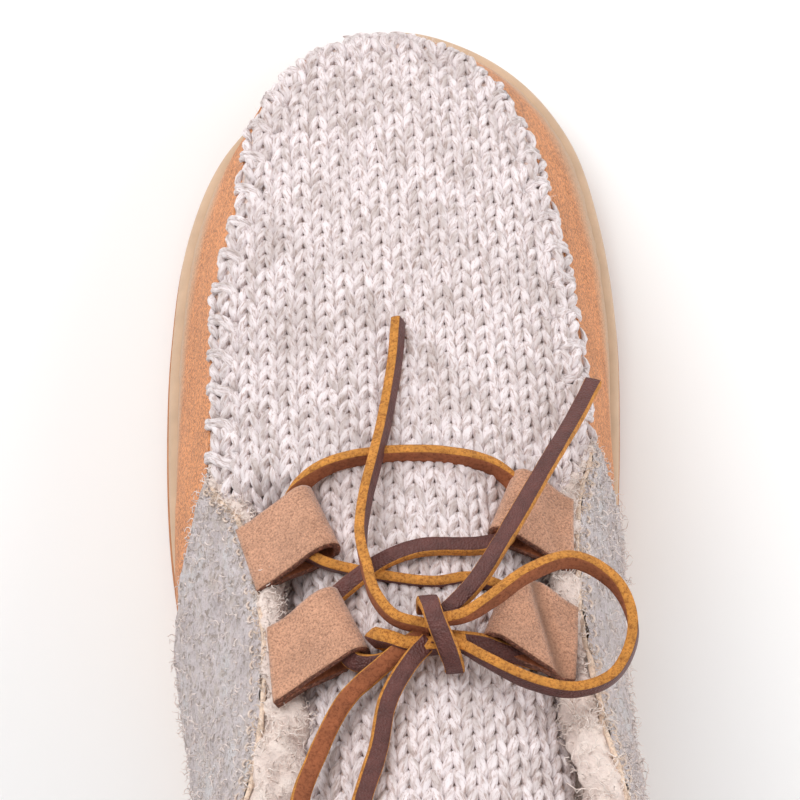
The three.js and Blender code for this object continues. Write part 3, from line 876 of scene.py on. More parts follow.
class SLIPPER_OT_stage(bpy.types.Operator):
    """Add the floor, the lights and the camera"""

    bl_idname = "slipper.stage"
    bl_label = "Stage"

    def execute(self, context):
        self.add_floor(context)
        self.add_lights(context.scene)
        self.add_camera(context.scene)
        context.scene.view_settings.view_transform = "Standard"
        return {"FINISHED"}

    def add_floor(self, context):
        bpy.ops.mesh.primitive_plane_add(size=6, location=(0, 0, 0))
        floor = context.active_object
        floor.name = "floor"
        f = Finish("pale floor", (0.9, 0.9, 0.9), 0.9)
        if not f.made:
            f.colour(f.ramp(f.grain(0.4, 2.0), [(0.3, grey(0.92)), (0.7, grey(0.94))]))
        floor.data.materials.append(f.material)

    def add_lights(self, scene):
        studio = scene.slipper_studio
        world = scene.world or bpy.data.worlds.new("surround")
        scene.world = world
        world.use_nodes = True
        background = world.node_tree.nodes["Background"]
        background.inputs["Color"].default_value = (1, 1, 1, 1)
        background.inputs["Strength"].default_value = studio.sky
        for name, power, size, place in (
            ("key light", studio.key, 0.55, (0.34, -0.42, 0.62)),
            ("fill light", studio.fill, 0.8, (-0.62, 0.12, 0.42)),
        ):
            data = bpy.data.lights.new(name, "AREA")
            data.energy = power
            data.size = size
            lamp = bpy.data.objects.new(name, data)
            lamp.location = place
            lamp.rotation_euler = (Vector(LIT_POINT) - lamp.location).to_track_quat("-Z", "Y").to_euler()
            scene.collection.objects.link(lamp)

    def add_camera(self, scene):
        studio = scene.slipper_studio
        away = Vector((math.sin(studio.yaw), math.sin(studio.tilt) * math.cos(studio.yaw),
                       math.cos(studio.tilt) * math.cos(studio.yaw)))
        forward = -away
        right = forward.cross(Vector((0, -1, 0))).normalized()
        up = right.cross(forward)
        turned = right * math.cos(studio.roll) + up * math.sin(studio.roll)
        up = up * math.cos(studio.roll) - right * math.sin(studio.roll)
        data = bpy.data.cameras.new("camera")
        data.lens = studio.lens
        data.sensor_width = PICTURE_WIDTH
        camera = bpy.data.objects.new("camera", data)
        place = Vector(placed([VIEW_CENTRE])[0] / 1000) + away * studio.distance
        camera.matrix_world = Matrix.Translation(place) @ Matrix((turned, up, away)).transposed().to_4x4()
        scene.collection.objects.link(camera)
        scene.camera = camera


# Lace

# Each row has x, station, height, and the way that the grain side faces
FRONT_BAR = [
    (23.5, 119.5, 72.0, -0.6, -1, -0.2), (20.8, 114.6, 72.6, -0.6, -1, -0.3),
    (17.6, 111.8, 73.8, -0.3, -1, -0.4), (12.5, 109.8, 74.8, -0.1, -1, -0.5),
    (1, 108.8, 75.6, 0, -1, -0.5), (-10.6, 109.8, 75.0, 0.1, -1, -0.5),
    (-17.4, 112.0, 73.4, 0.4, -1, -0.4), (-21.6, 116.4, 73.0, 0.6, -1, -0.3),
    (-21.4, 121, 75.2, 0.6, -1, -0.3),
]
BROWN_CROSSING = [
    (-19.8, 122.6, 76.6, 0.3, -0.5, 1), (-18.2, 126.6, 78.9, 0.2, -0.5, 1),
    (-13.4, 128.4, 81.8, 0, -0.5, 1), (-1.8, 128.8, 84.3, 0, -0.45, 1), (5, 131, 84.9, 0, -0.3, 1),
    (12.2, 135.6, 84.4, 0.2, -0.2, 1), (18.5, 141, 83.4, 0.3, 0, 1),
]
OCHRE_CROSSING = [
    (20.5, 127.5, 77.5, 0, 1, 0.4), (15.6, 130.4, 79.8, 0, 1, 0.2), (10.4, 132.4, 82.2, 0, 1, 0.2),
    (4, 134.4, 84.4, 0, 1, 0.2), (-4, 135.7, 84.9, 0, 1, 0.2), (-10.9, 135.0, 83.9, 0, 1, 0.2),
    (-17.8, 137.6, 83.4, 0, 1, 0.2), (-24, 142.5, 83.0, 0, 1, 0.2),
]
REAR_LATERAL = [
    (14, 144.6, 88.8, 0.4, 0.4, 1), (11.6, 150.2, 91.2, 0, 0.4, 1), (7.6, 151.2, 92.4, 0, 0.2, 1),
    (3, 150, 93.0, 0, 0.2, 1), (-3, 148, 93.2, 0, 0.2, 1),
]
REAR_MEDIAL = [
    (-24, 151.6, 85.6, 0, 0.3, 1), (-17.4, 149.8, 88.0, 0, 0.3, 1), (-12, 148, 91.0, 0, 0.4, 1),
    (-6, 147.4, 93.0, 0, 0.4, 1), (-1, 147, 93.4, 0, 0.4, 1),
]
END_TOE = [
    (-2.6, 145.6, 96.6, 0, -1, -0.3), (3.6, 143.6, 96.4, -0.3, -1, -0.35),
    (6.8, 139.6, 95, -0.8, -0.7, -0.35), (8.4, 133.4, 91.4, -1, -0.1, -0.1),
    (9.2, 127, 87.6, -1, 0, 0.2), (8, 118.6, 82.6, -1, 0, 0.35), (5.8, 110.4, 79.0, -1, 0.1, 0.4),
    (3.5, 101.3, 73.6, -1, 0.1, 0.45), (0.9, 88.3, 68.8, -1, 0.1, 0.5), (-0.1, 79.9, 66.2, -1, 0.1, 0.5),
]
END_MEDIAL = [
    (-4, 144.4, 95.6, 0.5, 0.1, 1), (-11.2, 137.4, 94.2, 0.3, 0, 1), (-17.8, 127.6, 88.8, 0.2, -0.1, 1),
    (-27, 112.6, 79.0, 0.2, -0.1, 1), (-33.7, 101.6, 68.4, 0.2, -0.3, 1),
    (-38.6, 92.6, 60.0, 0.1, -0.4, 1),
]
LOOP_MEDIAL = [
    (-2.5, 144.6, 98.2, 0.2, -1, 0.0), (-8.8, 143.8, 98.0, 0.2, -1, -0.3),
    (-14, 141, 98.0, 0.4, -1, -0.6), (-21, 136.4, 97, 0.3, -1, -0.75),
    (-29.6, 133.8, 94, -0.1, -1, -0.75), (-37.6, 138.6, 91.4, -1, -0.5, -0.4),
    (-40, 146.8, 91, -1, 0.1, 0.2), (-36, 154.8, 92, -0.5, 1, 0.3), (-28.6, 157.6, 94, 0, 1, 0.4),
    (-20.3, 156, 96.2, 0.2, 1, 0.35), (-12.3, 151.8, 97.2, 0.4, 1, 0.2), (-8, 149.2, 97.2, 0.4, 1, 0.1),
    (-3, 147.6, 96.6, 0.2, 1, 0.1),
]
LOOP_LATERAL = [
    (-2, 146.4, 95.2, 0, 0, -1), (2.4, 149, 95.4, 0.1, 0, -1), (7, 152.6, 95.6, 0.15, 0.1, -1),
    (13.3, 158.2, 96, 0.15, 0.1, -1), (19.1, 168.8, 98, 0.15, 0.1, -1), (22, 176.5, 101, 0.3, 0.1, -1),
    (21.6, 184, 105, 0.9, 0.3, -0.3), (17.4, 188.4, 108.6, 0.2, 1, 0.4),
    (12.8, 184.6, 107.6, -0.5, 0.2, 0.9), (11, 176.6, 104.2, -0.25, 0, 1),
    (7.8, 167.6, 101.2, -0.25, 0, 1), (5.6, 158.6, 98.6, -0.25, 0, 1), (1.4, 151.8, 97.2, -0.2, 0, 1),
    (-2.2, 148, 96, -0.1, 0, 1),
]
KNOT_WRAP = [
    (-2.2, 141.8, 92.6, 0, -1, -0.2), (-2.2, 140.6, 96.0, 0, -1, 0.4), (-2.6, 141.6, 99.2, 0, -0.5, 1),
    (-3.4, 144.6, 100.9, 0, 0, 1), (-5, 148.6, 100.2, 0.1, 0.4, 1), (-6.4, 152, 97.6, 0.1, 0.9, 0.7),
    (-6.8, 153, 94.4, 0, 1, 0.1),
]
KNOT_UNDER = [
    (5.6, 147.4, 90.6, 0.8, 0.5, 0.2), (7.4, 146.6, 93.0, 0.8, 0.6, 0.2), (5.6, 147, 94.8, 0.2, 1, 0.3),
    (2, 148.4, 95.2, 0, 1, 0.3), (-4, 148.8, 95.6, 0, 1, 0.3), (-9, 148, 95.6, 0, 1, 0.3),
]
# Each corner of the lace's section has its place across and through the lace, from -1 to 1, and the side
# after it: 0 for grain, 1 for cut edge, 2 for flesh
LACE_SECTION = [
    (-1, -0.5, 1), (-1, 0.5, 1), (-0.88, 0.95, 0), (-0.4, 1, 0), (0.4, 1, 0), (0.88, 0.95, 1),
    (1, 0.5, 1), (1, -0.5, 1), (0.88, -0.95, 2), (0.4, -1, 2), (-0.4, -1, 2), (-0.88, -0.95, 1),
]
LACE_STEP = 0.55  # between two sections
LACE_END = 1  # the side shown at a cut end


def lace_strip(name, rows, replaced=(), width=1.0, thickness=1.0):
    """A stretch of flat lace: dark grain on one side, ochre cut edges, rust flesh on the other."""
    sizes = bpy.context.scene.slipper_sizes
    rows = np.asarray(rows, float)
    curve = smooth_curve(placed(rows[:, :3]))
    rough_run = np.linalg.norm(np.diff(curve(np.linspace(0, 1, 400)), axis=0), axis=1).sum()
    count = max(12, int(rough_run / LACE_STEP))
    t = np.linspace(0, 1, count)
    path = curve(t)
    posts = np.linspace(0, 1, len(rows))
    facing = unit(np.stack([np.interp(t, posts, rows[:, k]) for k in (3, 4, 5)], axis=1))
    _, up, across = frames(path, facing)
    half, thick = sizes.lace_width * 500 * width, sizes.lace_thick * 500 * thickness
    uneven = 1 + 0.05 * noise(path, 3.0, 5)[:, None]
    corners = np.array([(a * half, b * thick) for a, b, _ in LACE_SECTION])
    sideways = across[:, None] * corners[:, :1] * uneven[:, None]
    points = (path[:, None] + sideways + up[:, None] * corners[:, 1:]).reshape(-1, 3)
    sides = len(LACE_SECTION)
    faces = grid_faces(count, sides, round_columns=True)
    caps = np.stack([np.arange(sides)[::-1], (count - 1) * sides + np.arange(sides)])
    kinds = np.concatenate([np.tile([side for _, _, side in LACE_SECTION], count - 1), [LACE_END, LACE_END]])
    piece = make_piece(name, points, [faces, caps], lace_finishes(), kinds=kinds, slot="lace")
    if replaced:
        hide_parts(*replaced)
    return piece, path


def free_cord(name, rows, node):
    """A loose stretch of the lace."""
    piece, path = lace_strip(name, rows, [node])
    run = np.linalg.norm(np.diff(path, axis=0), axis=1).sum() / 1000


class SLIPPER_OT_lace_bow(bpy.types.Operator):
    """Make the bow: two ends, two loops and the knot"""

    bl_idname = "slipper.lace_bow"
    bl_label = "Lace bow"

    def execute(self, context):
        free_cord("lace_toe_end", END_TOE, "lace_end_toe")
        free_cord("lace_medial_end", END_MEDIAL, "lace_end_medial")
        free_cord("lace_medial_loop", LOOP_MEDIAL, "lace_loop_medial")
        free_cord("lace_lateral_loop", LOOP_LATERAL, "lace_loop_lateral")
        lace_strip("knot_wrap", KNOT_WRAP, ["lace_knot"], width=1.08)
        lace_strip("knot_under", KNOT_UNDER, thickness=1.35)
        return {"FINISHED"}


class SLIPPER_OT_lace_bars(bpy.types.Operator):
    """Make the stretches of lace that run between the tabs"""

    bl_idname = "slipper.lace_bars"
    bl_label = "Lace bars"

    def execute(self, context):
        lace_strip("lace_front", FRONT_BAR, ["lace_front_bar"])
        lace_strip("lace_brown_crossing", BROWN_CROSSING, ["lace_crossing"])
        lace_strip("lace_ochre_crossing", OCHRE_CROSSING)
        lace_strip("lace_rear_lateral", REAR_LATERAL, ["lace_rear_bar"])
        lace_strip("lace_rear_medial", REAR_MEDIAL)
        return {"FINISHED"}


# Sole

OUTLINE_POINTS = 360
SHOULDER = 2.0  # radius of the band's rounded top edge
TREAD_PITCH = 6.5
TREAD_START, TREAD_END = 16, 252
TREAD_MARGIN = 5  # the bars stop this far from the sole's edge


def loft(name, levels, material, slot, nodes, cap_rows=24):
    """A slab with the sole's outline: levels of inset and height, closed top and bottom."""
    t = np.arange(OUTLINE_POINTS) / OUTLINE_POINTS
    rings = []
    for inset, height in levels:
        ring_points = edge_point(t, inset)
        ring_points[:, 2] = height(ring_points[:, 1] + MIDDLE)
        rings.append(ring_points)
    points = [np.concatenate(rings)]
    faces = [grid_faces(len(rings), OUTLINE_POINTS, round_columns=True)]
    start = len(rings) * OUTLINE_POINTS
    half = OUTLINE_POINTS // 2
    for which, flip in ((0, False), (len(rings) - 1, True)):
        lateral = rings[which][: half + 1]
        medial = rings[which][(-np.arange(half + 1)) % OUTLINE_POINTS]
        q = np.linspace(0, 1, cap_rows)[None, :, None]
        cap = lateral[:, None] + (medial - lateral)[:, None] * q
        cap[:, 1:-1, 2] = levels[which][1](cap[:, 1:-1, 1] + MIDDLE)
        quads = grid_faces(half + 1, cap_rows, start=start)
        faces.append(quads[:, ::-1] if flip else quads)
        points.append(cap.reshape(-1, 3))
        start += cap.size // 3
    piece = make_piece(name, np.concatenate(points), faces, [material], slot=slot)
    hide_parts(*nodes)


class SLIPPER_OT_sole(bpy.types.Operator):
    """Make the rubber sole with its tread and the beige band above it"""

    bl_idname = "slipper.sole"
    bl_label = "Sole"

    def execute(self, context):
        def rubber_top(s):
            return lift(s) + OUTSOLE_THICK

        rubber = [(1.2, lift), (0.35, lambda s: lift(s) + 0.35), (0, lambda s: lift(s) + 1.2),
                  (0, lambda s: rubber_top(s) - 0.5), (0.4, rubber_top), (1.4, rubber_top)]
        loft("sole", rubber, rubber_finish(), "rubber", ["outsole"])
        band = [(FOXING_SETBACK + 0.4, lambda s: rubber_top(s) + 0.1),
                (FOXING_SETBACK, lambda s: rubber_top(s) + 0.6)]
        for a in np.linspace(0, math.pi / 2, 7):
            drop = SHOULDER - SHOULDER * math.sin(a)
            inset = FOXING_SETBACK + SHOULDER * (1 - math.cos(a))
            band.append((inset, lambda s, d=drop: sole_top(s) - d))
        loft("band", band, foxing_finish(), "foxing", ["midsole"])
        self.tread()
        return {"FINISHED"}

    def tread(self):
        """Shallow bars across the sole. Nearly all of each lies inside the rubber, out of sight."""
        bars = Strands(6)
        outline = edge_curve(np.linspace(0, 1, 400))
        for s in np.arange(TREAD_START, TREAD_END, TREAD_PITCH):
            y = s - MIDDLE
            near = outline[np.abs(outline[:, 1] - y) < 4]
            x = np.linspace(near[:, 0].min() + TREAD_MARGIN, near[:, 0].max() - TREAD_MARGIN, 24)
            path = np.stack([x, y + 1.2 * np.sin(x * 0.45), np.full(24, float(lift(s))) + 0.45], axis=1)
            bars.add(path, np.tile([0.0, 0, 1], (24, 1)), 1.1, flat=0.4)
        bars.piece("tread", rubber_finish(), "rubber")


# Upper

VAMP_SLACK = 2.7  # bulge that the wall loses round the toes, so that the band shows below it
MEDIAL_SLACK = 2.6
LATERAL_SLACK = 0.7
PAINTED_SHEEN_HEIGHT = 10  # the suede pales to the band's colour over this height
QUARTER_RUN = 420  # turns a share of the way round into the run that rounds their front edges
FELT_THICK = 1.7
FIBRE_TINT = (0.94, 0.91, 0.83)  # the felt's colour times this is that of its loose fibres
STITCH_PITCH = 3.4


class SLIPPER_OT_vamp(bpy.types.Operator):
    """Make the suede wall round the toes"""

    bl_idname = "slipper.vamp"
    bl_label = "Suede vamp"

    def execute(self, context):
        t = np.linspace(-VAMP_END, VAMP_END, 420)
        v = np.concatenate([np.linspace(-0.05, 1.0, 44), [1.012, 1.026, 1.045]])
        tt, vv = (grid.ravel() for grid in np.meshgrid(t, v, indexing="ij"))
        posts = np.abs(tt) * POSTS
        behind = np.where(tt > 0, LATERAL_SLACK, MEDIAL_SLACK)
        wanted = behind + (VAMP_SLACK - behind) * (1 - ease(6.2, 8.5, posts))
        slack = np.minimum(trim_curve(tt)[:, 0] - 0.3, wanted)
        # the wall's top edge turns in under the knit, and ends lower behind the throat
        at_throat = ease(6.5, 7.0, posts)
        level = np.minimum(vv, 1 - 0.06 * at_throat)
        points, normal = wall_point(tt, level, slack), wall_normal(tt, level, slack)
        pucker = 0.35 * noise(points * [1, 1, 0.4], 7.0, 3) * np.clip(level, 0, 1)
        points = points + normal * (pucker + 0.15 * noise(points, 2.2, 4))[:, None]
        lip = (np.clip(vv - 1, 0, 1) * (1 - ease(6.6, 7.0, posts)))[:, None]
        points = points - outward(tt) * lip * 100 - [[0, 0, 1]] * lip * 70
        height = points[:, 2] - wall_point(tt, 0.0)[:, 2]
        # pale is a painted sheen: strongest at the wall's foot, fading out higher up
        pale = np.clip(1.1 - (height + 1.2 * noise(points, 9, 8)) / PAINTED_SHEEN_HEIGHT, 0, 1)
        piece = shell("vamp", points.reshape(len(t), len(v), 3), suede_finish(), "suede", {"pale": pale})
        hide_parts("upper")
        return {"FINISHED"}


def quarter_front(v, medial):
    """Where the quarter's front edge crosses the wall, as a share of the way round."""
    slope = 0.8 if medial else 2.0
    return (THROAT_POST - 0.15 + slope * (1 - v)) / POSTS


class SLIPPER_OT_quarters(bpy.types.Operator):
    """Make the felted wool quarters, their hide edge and its stitches"""

    bl_idname = "slipper.quarters"
    bl_label = "Felt quarters"

    def execute(self, context):
        v = np.concatenate([np.linspace(0.0, 0.93, 66), [0.955, 0.975, 0.99, 1.0]])
        u = np.linspace(0, 1, 520)
        vv, uu = (grid.ravel() for grid in np.meshgrid(v, u, indexing="ij"))
        start, end = quarter_front(vv, False), 1 - quarter_front(vv, True)
        tt = start + (end - start) * uu
        slack = 2.6 * ease(19.5, 21.5, tt * POSTS) + 0.8 * (1 - ease(9, 12, tt * POSTS))
        points, normal = wall_point(tt, vv, slack), wall_normal(tt, vv, slack)
        run = np.minimum(uu, 1 - uu) * QUARTER_RUN
        rounded_top = np.sqrt(np.clip((1.0 - vv) / 0.05, 0, 1) * 0.85 + 0.15)
        thick = FELT_THICK * np.sqrt(np.clip(run / 2.4, 0, 1)) * rounded_top
        lumps = 0.35 * noise(points, 4.5, 11) + 0.34 * noise(points, 2.0, 12) + 0.14 * noise(points, 1.0, 13)
        points = points + normal * (thick + lumps * np.clip(run / 3, 0.2, 1))[:, None]
        shell("quarters", points.reshape(len(v), len(u), 3), felt_finish(), "felt")
        self.fuzz(context, points, normal)
        self.edge(context)
        return {"FINISHED"}

    def fuzz(self, context, points, normal):
        """Loose fibres and short curls on the felt."""
        rng = np.random.default_rng(21)
        pick = rng.integers(0, len(points), FELT_HAIRS)
        roots = points[pick] + rng.normal(scale=0.3, size=(FELT_HAIRS, 3)) + normal[pick] * 0.1
        ways = unit(normal[pick] * 0.3 + rng.normal(scale=0.8, size=(FELT_HAIRS, 3)))
        colour = tuple(a * b for a, b in zip(context.scene.slipper_colours.felt, FIBRE_TINT))
        finish = fuzz_finish("felt fibres", colour)
        hairs("felt_fuzz", roots, ways, rng.uniform(0.6, 1.3, FELT_HAIRS), 0.07, finish, "felt", 22, 0.8)
        pick = rng.integers(0, len(points), FELT_CURLS)
        curls("felt_curls", points[pick] - normal[pick] * 0.1, normal[pick],
              rng.uniform(1.2, 2.6, FELT_CURLS), 0.17, finish, "felt", 23, stand=0.2)

    def edge(self, context):
        """The hide's cut edge along the top line, its curls, and the stitches below it."""
        t = np.linspace(THROAT, 1 - THROAT, 900)
        top, out = top_curve(t), outward(t)
        up = np.tile([0.0, 0, 1], (len(t), 1))
        wave = 0.35 * noise(top, 4.0, 31)[:, None]
        path = top + out * (0.2 + wave) + up * 0.35
        hide = Strands(7)
        hide.add(path, up, 0.55 + 0.16 * noise(top, 1.6, 32), flat=0.8)
        hide.piece("hide_edge", hide_finish(), "suede")
        rng = np.random.default_rng(33)
        pick = rng.integers(0, len(path), HIDE_CURLS)
        roots = path[pick] + out[pick] * rng.uniform(-0.5, 1.2, (HIDE_CURLS, 1))
        lengths = rng.uniform(0.9, 2.0, HIDE_CURLS)
        finish = fuzz_finish("hide fibres", shade(tuple(context.scene.slipper_colours.hide_edge), 1.05))
        curls("hide_curls", roots, unit(out + up)[pick], lengths, 0.12, finish, "fleece", 34, stand=0.4)
        stitches = Strands(6)
        below = wall_point(t, 0.965) + wall_normal(t, 0.965) * 2.1
        run = run_along(top)
        sunk = np.array([-0.8, -0.35, -0.25, -0.35, -0.8])[:, None]
        for place in np.arange(2, run[-1] - 2, STITCH_PITCH):
            steps = place + np.array([0, 0.4, 0.8, 1.2, 1.6])
            stitch = np.stack([np.interp(steps, run, below[:, k]) for k in range(3)], axis=1)
            facing = np.array([np.interp(place + 0.8, run, out[:, k]) for k in range(3)])
            stitches.add(stitch + facing * sunk, np.tile(facing, (5, 1)), 0.24)
        stitches.piece("throat_stitches", thread_finish(), "suede")


class SLIPPER_OT_lining(bpy.types.Operator):
    """Make the fleece lining, the fleece rolled out at the throat and collar, and the fleece sock"""

    bl_idname = "slipper.lining"
    bl_label = "Fleece lining"

    def execute(self, context):
        self.inside()
        self.ceiling()
        self.cuff(context)
        self.sock()
        return {"FINISHED"}

    def inside(self):
        """The fleece on the inside of the wall."""
        count = 300
        t = np.arange(count) / count
        v = np.linspace(0, 0.97, 40)
        tt, vv = (grid.ravel() for grid in np.meshgrid(t, v, indexing="ij"))
        points = inner_point(tt, vv)
        lumps = 0.8 * noise(points, 4.5, 41) + 0.4 * noise(points, 1.7, 42)
        points = points + lumps[:, None] * outward(tt)
        quads = grid_faces(count, len(v), round_rows=True)
        make_piece("lining", points, [quads], [fleece_finish()], slot="fleece")

    def ceiling(self):
        """The fleece under the apron."""
        share = np.linspace(0, THROAT, 60)
        q = np.linspace(0, 1, 40)
        tops = inner_point(share, 1.0), inner_point(-share, 1.0)
        outer = (top_curve(share)[:, 2] + top_curve(-share)[:, 2]) / 2 + trim_curve(share)[:, 1] - WALL
        rise = np.maximum(0, outer - (tops[0][:, 2] + tops[1][:, 2]) / 2)
        roof = tops[0][:, None] + (tops[1] - tops[0])[:, None] * q[None, :, None]
        roof[:, :, 2] += rise[:, None] * (1 - np.abs(2 * q - 1) ** APRON_ROUNDNESS)
        lumps = 0.7 * noise(roof.reshape(-1, 3), 4.5, 43)
        roof[:, :, 2] += lumps.reshape(roof.shape[:2])
        shell("apron_lining", roof, fleece_finish(), "fleece")

    def cuff(self, context):
        """A soft roll from the hide edge over the wall's top and down inside it."""
        t = np.linspace(CUFF_START, 1 - CUFF_START, 620)
        top, out = top_curve(t), outward(t)
        posts = np.minimum(t, 1 - t) * POSTS
        width = 4.6 + (5.8 - 2.6 * ease(0.35, 0.65, t)) * ease(9.0, 10.4, posts)
        over = 0.62  # share of the section that rolls over the top; the rest hangs inside
        turn = np.linspace(0, 1, 26)
        rows = []
        for a in turn:
            swing = math.pi * min(a / over, 1)
            drop = max(0.0, a - over) / 0.38
            inward = -0.3 + (width - 0.3) * (1 - math.cos(swing)) / 2
            height = 3.0 * math.sin(swing) - 1.2 - 11 * drop - 1.5 * a
            rows.append(top - out * inward[:, None] + np.array([0, 0, 1.0]) * height)
        grid = np.array(rows)
        flat = grid.reshape(-1, 3)
        around, along = (np.gradient(grid, axis=axis).reshape(-1, 3) for axis in (0, 1))
        normal = unit(np.cross(along, around))
        if (normal * np.array([0, 0, 1.0]))[: len(t) * 8].sum() < 0:
            normal = -normal
        fade = np.repeat(np.clip(turn / 0.12, 0, 1), len(t))
        lumps = 1.1 * noise(flat, 4.2, 51) + 0.7 * noise(flat, 2.0, 52) + 0.3 * noise(flat, 1.0, 53)
        flat = flat + normal * (lumps * fade)[:, None]
        shell("fleece_cuff", flat.reshape(grid.shape), fleece_finish(), "fleece")
        self.curls(context, flat, normal, fade)

    def curls(self, context, points, normal, fade):
        """Curls on the roll, more of them in front, and shorter there and near the tabs."""
        rng = np.random.default_rng(61)
        count = context.scene.slipper_sizes.curls
        tabs = placed([np.add(sewn, fold) / 2 for _, sewn, fold, *_ in TABS])
        open_to_view = np.flatnonzero((fade > 0.4) & (normal[:, 2] > -0.5))
        weight = np.where(points[open_to_view, 1] < 165 - MIDDLE, 2.6, 1.0)
        pick = rng.choice(open_to_view, count, p=weight / weight.sum())
        near = np.linalg.norm(points[pick][:, None, :2] - tabs[:, :2], axis=2).min(axis=1) < 13
        front = points[pick][:, 1] < 160 - MIDDLE
        lengths = rng.uniform(1.6, 3.6, count) * np.where(near, 0.5, np.where(front, 0.6, 1))
        finish = fuzz_finish("fleece curls", shade(tuple(context.scene.slipper_colours.fleece), 1.08))
        curls("fleece_curls", points[pick], normal[pick], lengths, 0.15, finish, "fleece", 62)

    def sock(self):
        """The fleece under the foot, with a rounded top edge."""
        inset = LEDGE + WALL + 2 * CLEAR
        thick = CLEAR + INSOLE_THICK
        levels = [(inset, lambda s: sole_top(s) + CLEAR), (inset, lambda s: sole_top(s) + thick - 1.2),
                  (inset + 1.2, lambda s: sole_top(s) + thick)]
        loft("sock", levels, fleece_finish(), "fleece", ["insole"], cap_rows=34)


# Knit

def border_rise(x, inside, run, pitch):
    """The puffed border: its rise between the whip stitches, its hollows at them, its fall outside."""
    between = np.abs(np.sin(np.pi * run / pitch)) ** 0.7
    puff = np.exp(-((inside - 2.4) / 2.3) ** 2) * (2.0 * between - 0.8)
    heelward = np.where(x > 0, 1, -1) * (run - np.round(run / pitch) * pitch)
    hollow = 1.9 * np.exp(-((inside - 5.0) / 1.3) ** 2 - ((heelward - 1.5) / 0.9) ** 2)
    return puff - hollow - 1.5 * np.clip(1 - inside / 2.0, 0, 1.6) ** 2


def raised(height, x, s, step):
    """Points of a surface from its height over the plan, and the normals there."""
    dx = (height(x + step, s) - height(x - step, s)) / (2 * step)
    ds = (height(x, s + step) - height(x, s - step)) / (2 * step)
    normal = unit(np.stack([-dx, -ds, np.ones(len(x))], axis=1))
    return np.stack([x, s - MIDDLE, height(x, s)], axis=1), normal


def apron_surface(x, s, pitch):
    """Points and normals of the knitted apron, which rolls over its seam at the edge."""
    def height(x, s):
        inside, run, seam = seam_place(x, s)
        level = np.where(inside > 0, apron_height(x, s), seam)
        return level + 0.3 + border_rise(x, inside, run, pitch) * (1 - ease(104, 107, s))

    return raised(height, x, s, 0.25)


def tongue_surface(x, s):
    """Points and normals of the knitted tongue."""
    return raised(tongue_height, x, s, 0.3)


def knit_row(s0, low, high, surface, strands, sizes, seed):
    """One row of stockinette: the yarn's legs stand in front, and its heads and feet lie behind."""
    wale, course, radius = sizes.wale * 1000, sizes.course * 1000, sizes.yarn * 1000
    first, last = (low - TONGUE_CENTRE) / wale, (high - TONGUE_CENTRE) / wale
    per = POINTS_PER_WALE
    place = np.arange(math.floor(first * per), math.ceil(last * per) + 1) / per
    turn = 2 * np.pi * place
    x = TONGUE_CENTRE + wale * (place + LEG_SLANT * np.sin(2 * turn))
    s = s0 + LOOP_REACH * course * np.cos(turn)
    keep = (x > low) & (x < high)
    if keep.sum() < 6:
        return
    kept = slice(np.argmax(keep), len(keep) - np.argmax(keep[::-1]))
    x, s, turn = x[kept], s[kept], turn[kept]
    where = np.stack([x, s, np.full(len(x), seed * 7.0)], axis=1)
    x = x + 0.16 * noise(where, 2.4, 71)
    s = s + 0.14 * noise(where, 2.6, 72)
    points, normal = surface(x, s)
    depth = -LOOP_DEPTH * np.cos(2 * turn) + 0.16 * noise(where, 2.0, 73)
    path = points + normal * (depth + 0.15)[:, None]
    ends = np.minimum(1, np.minimum(np.arange(len(x)), np.arange(len(x))[::-1]) / 3 + 0.15)
    size = radius * (1 + 0.09 * noise(where, 1.9, 74) + 0.10 * np.cos(2 * turn + np.pi)) * ends
    strands.add(path, normal, size, flat=0.92)


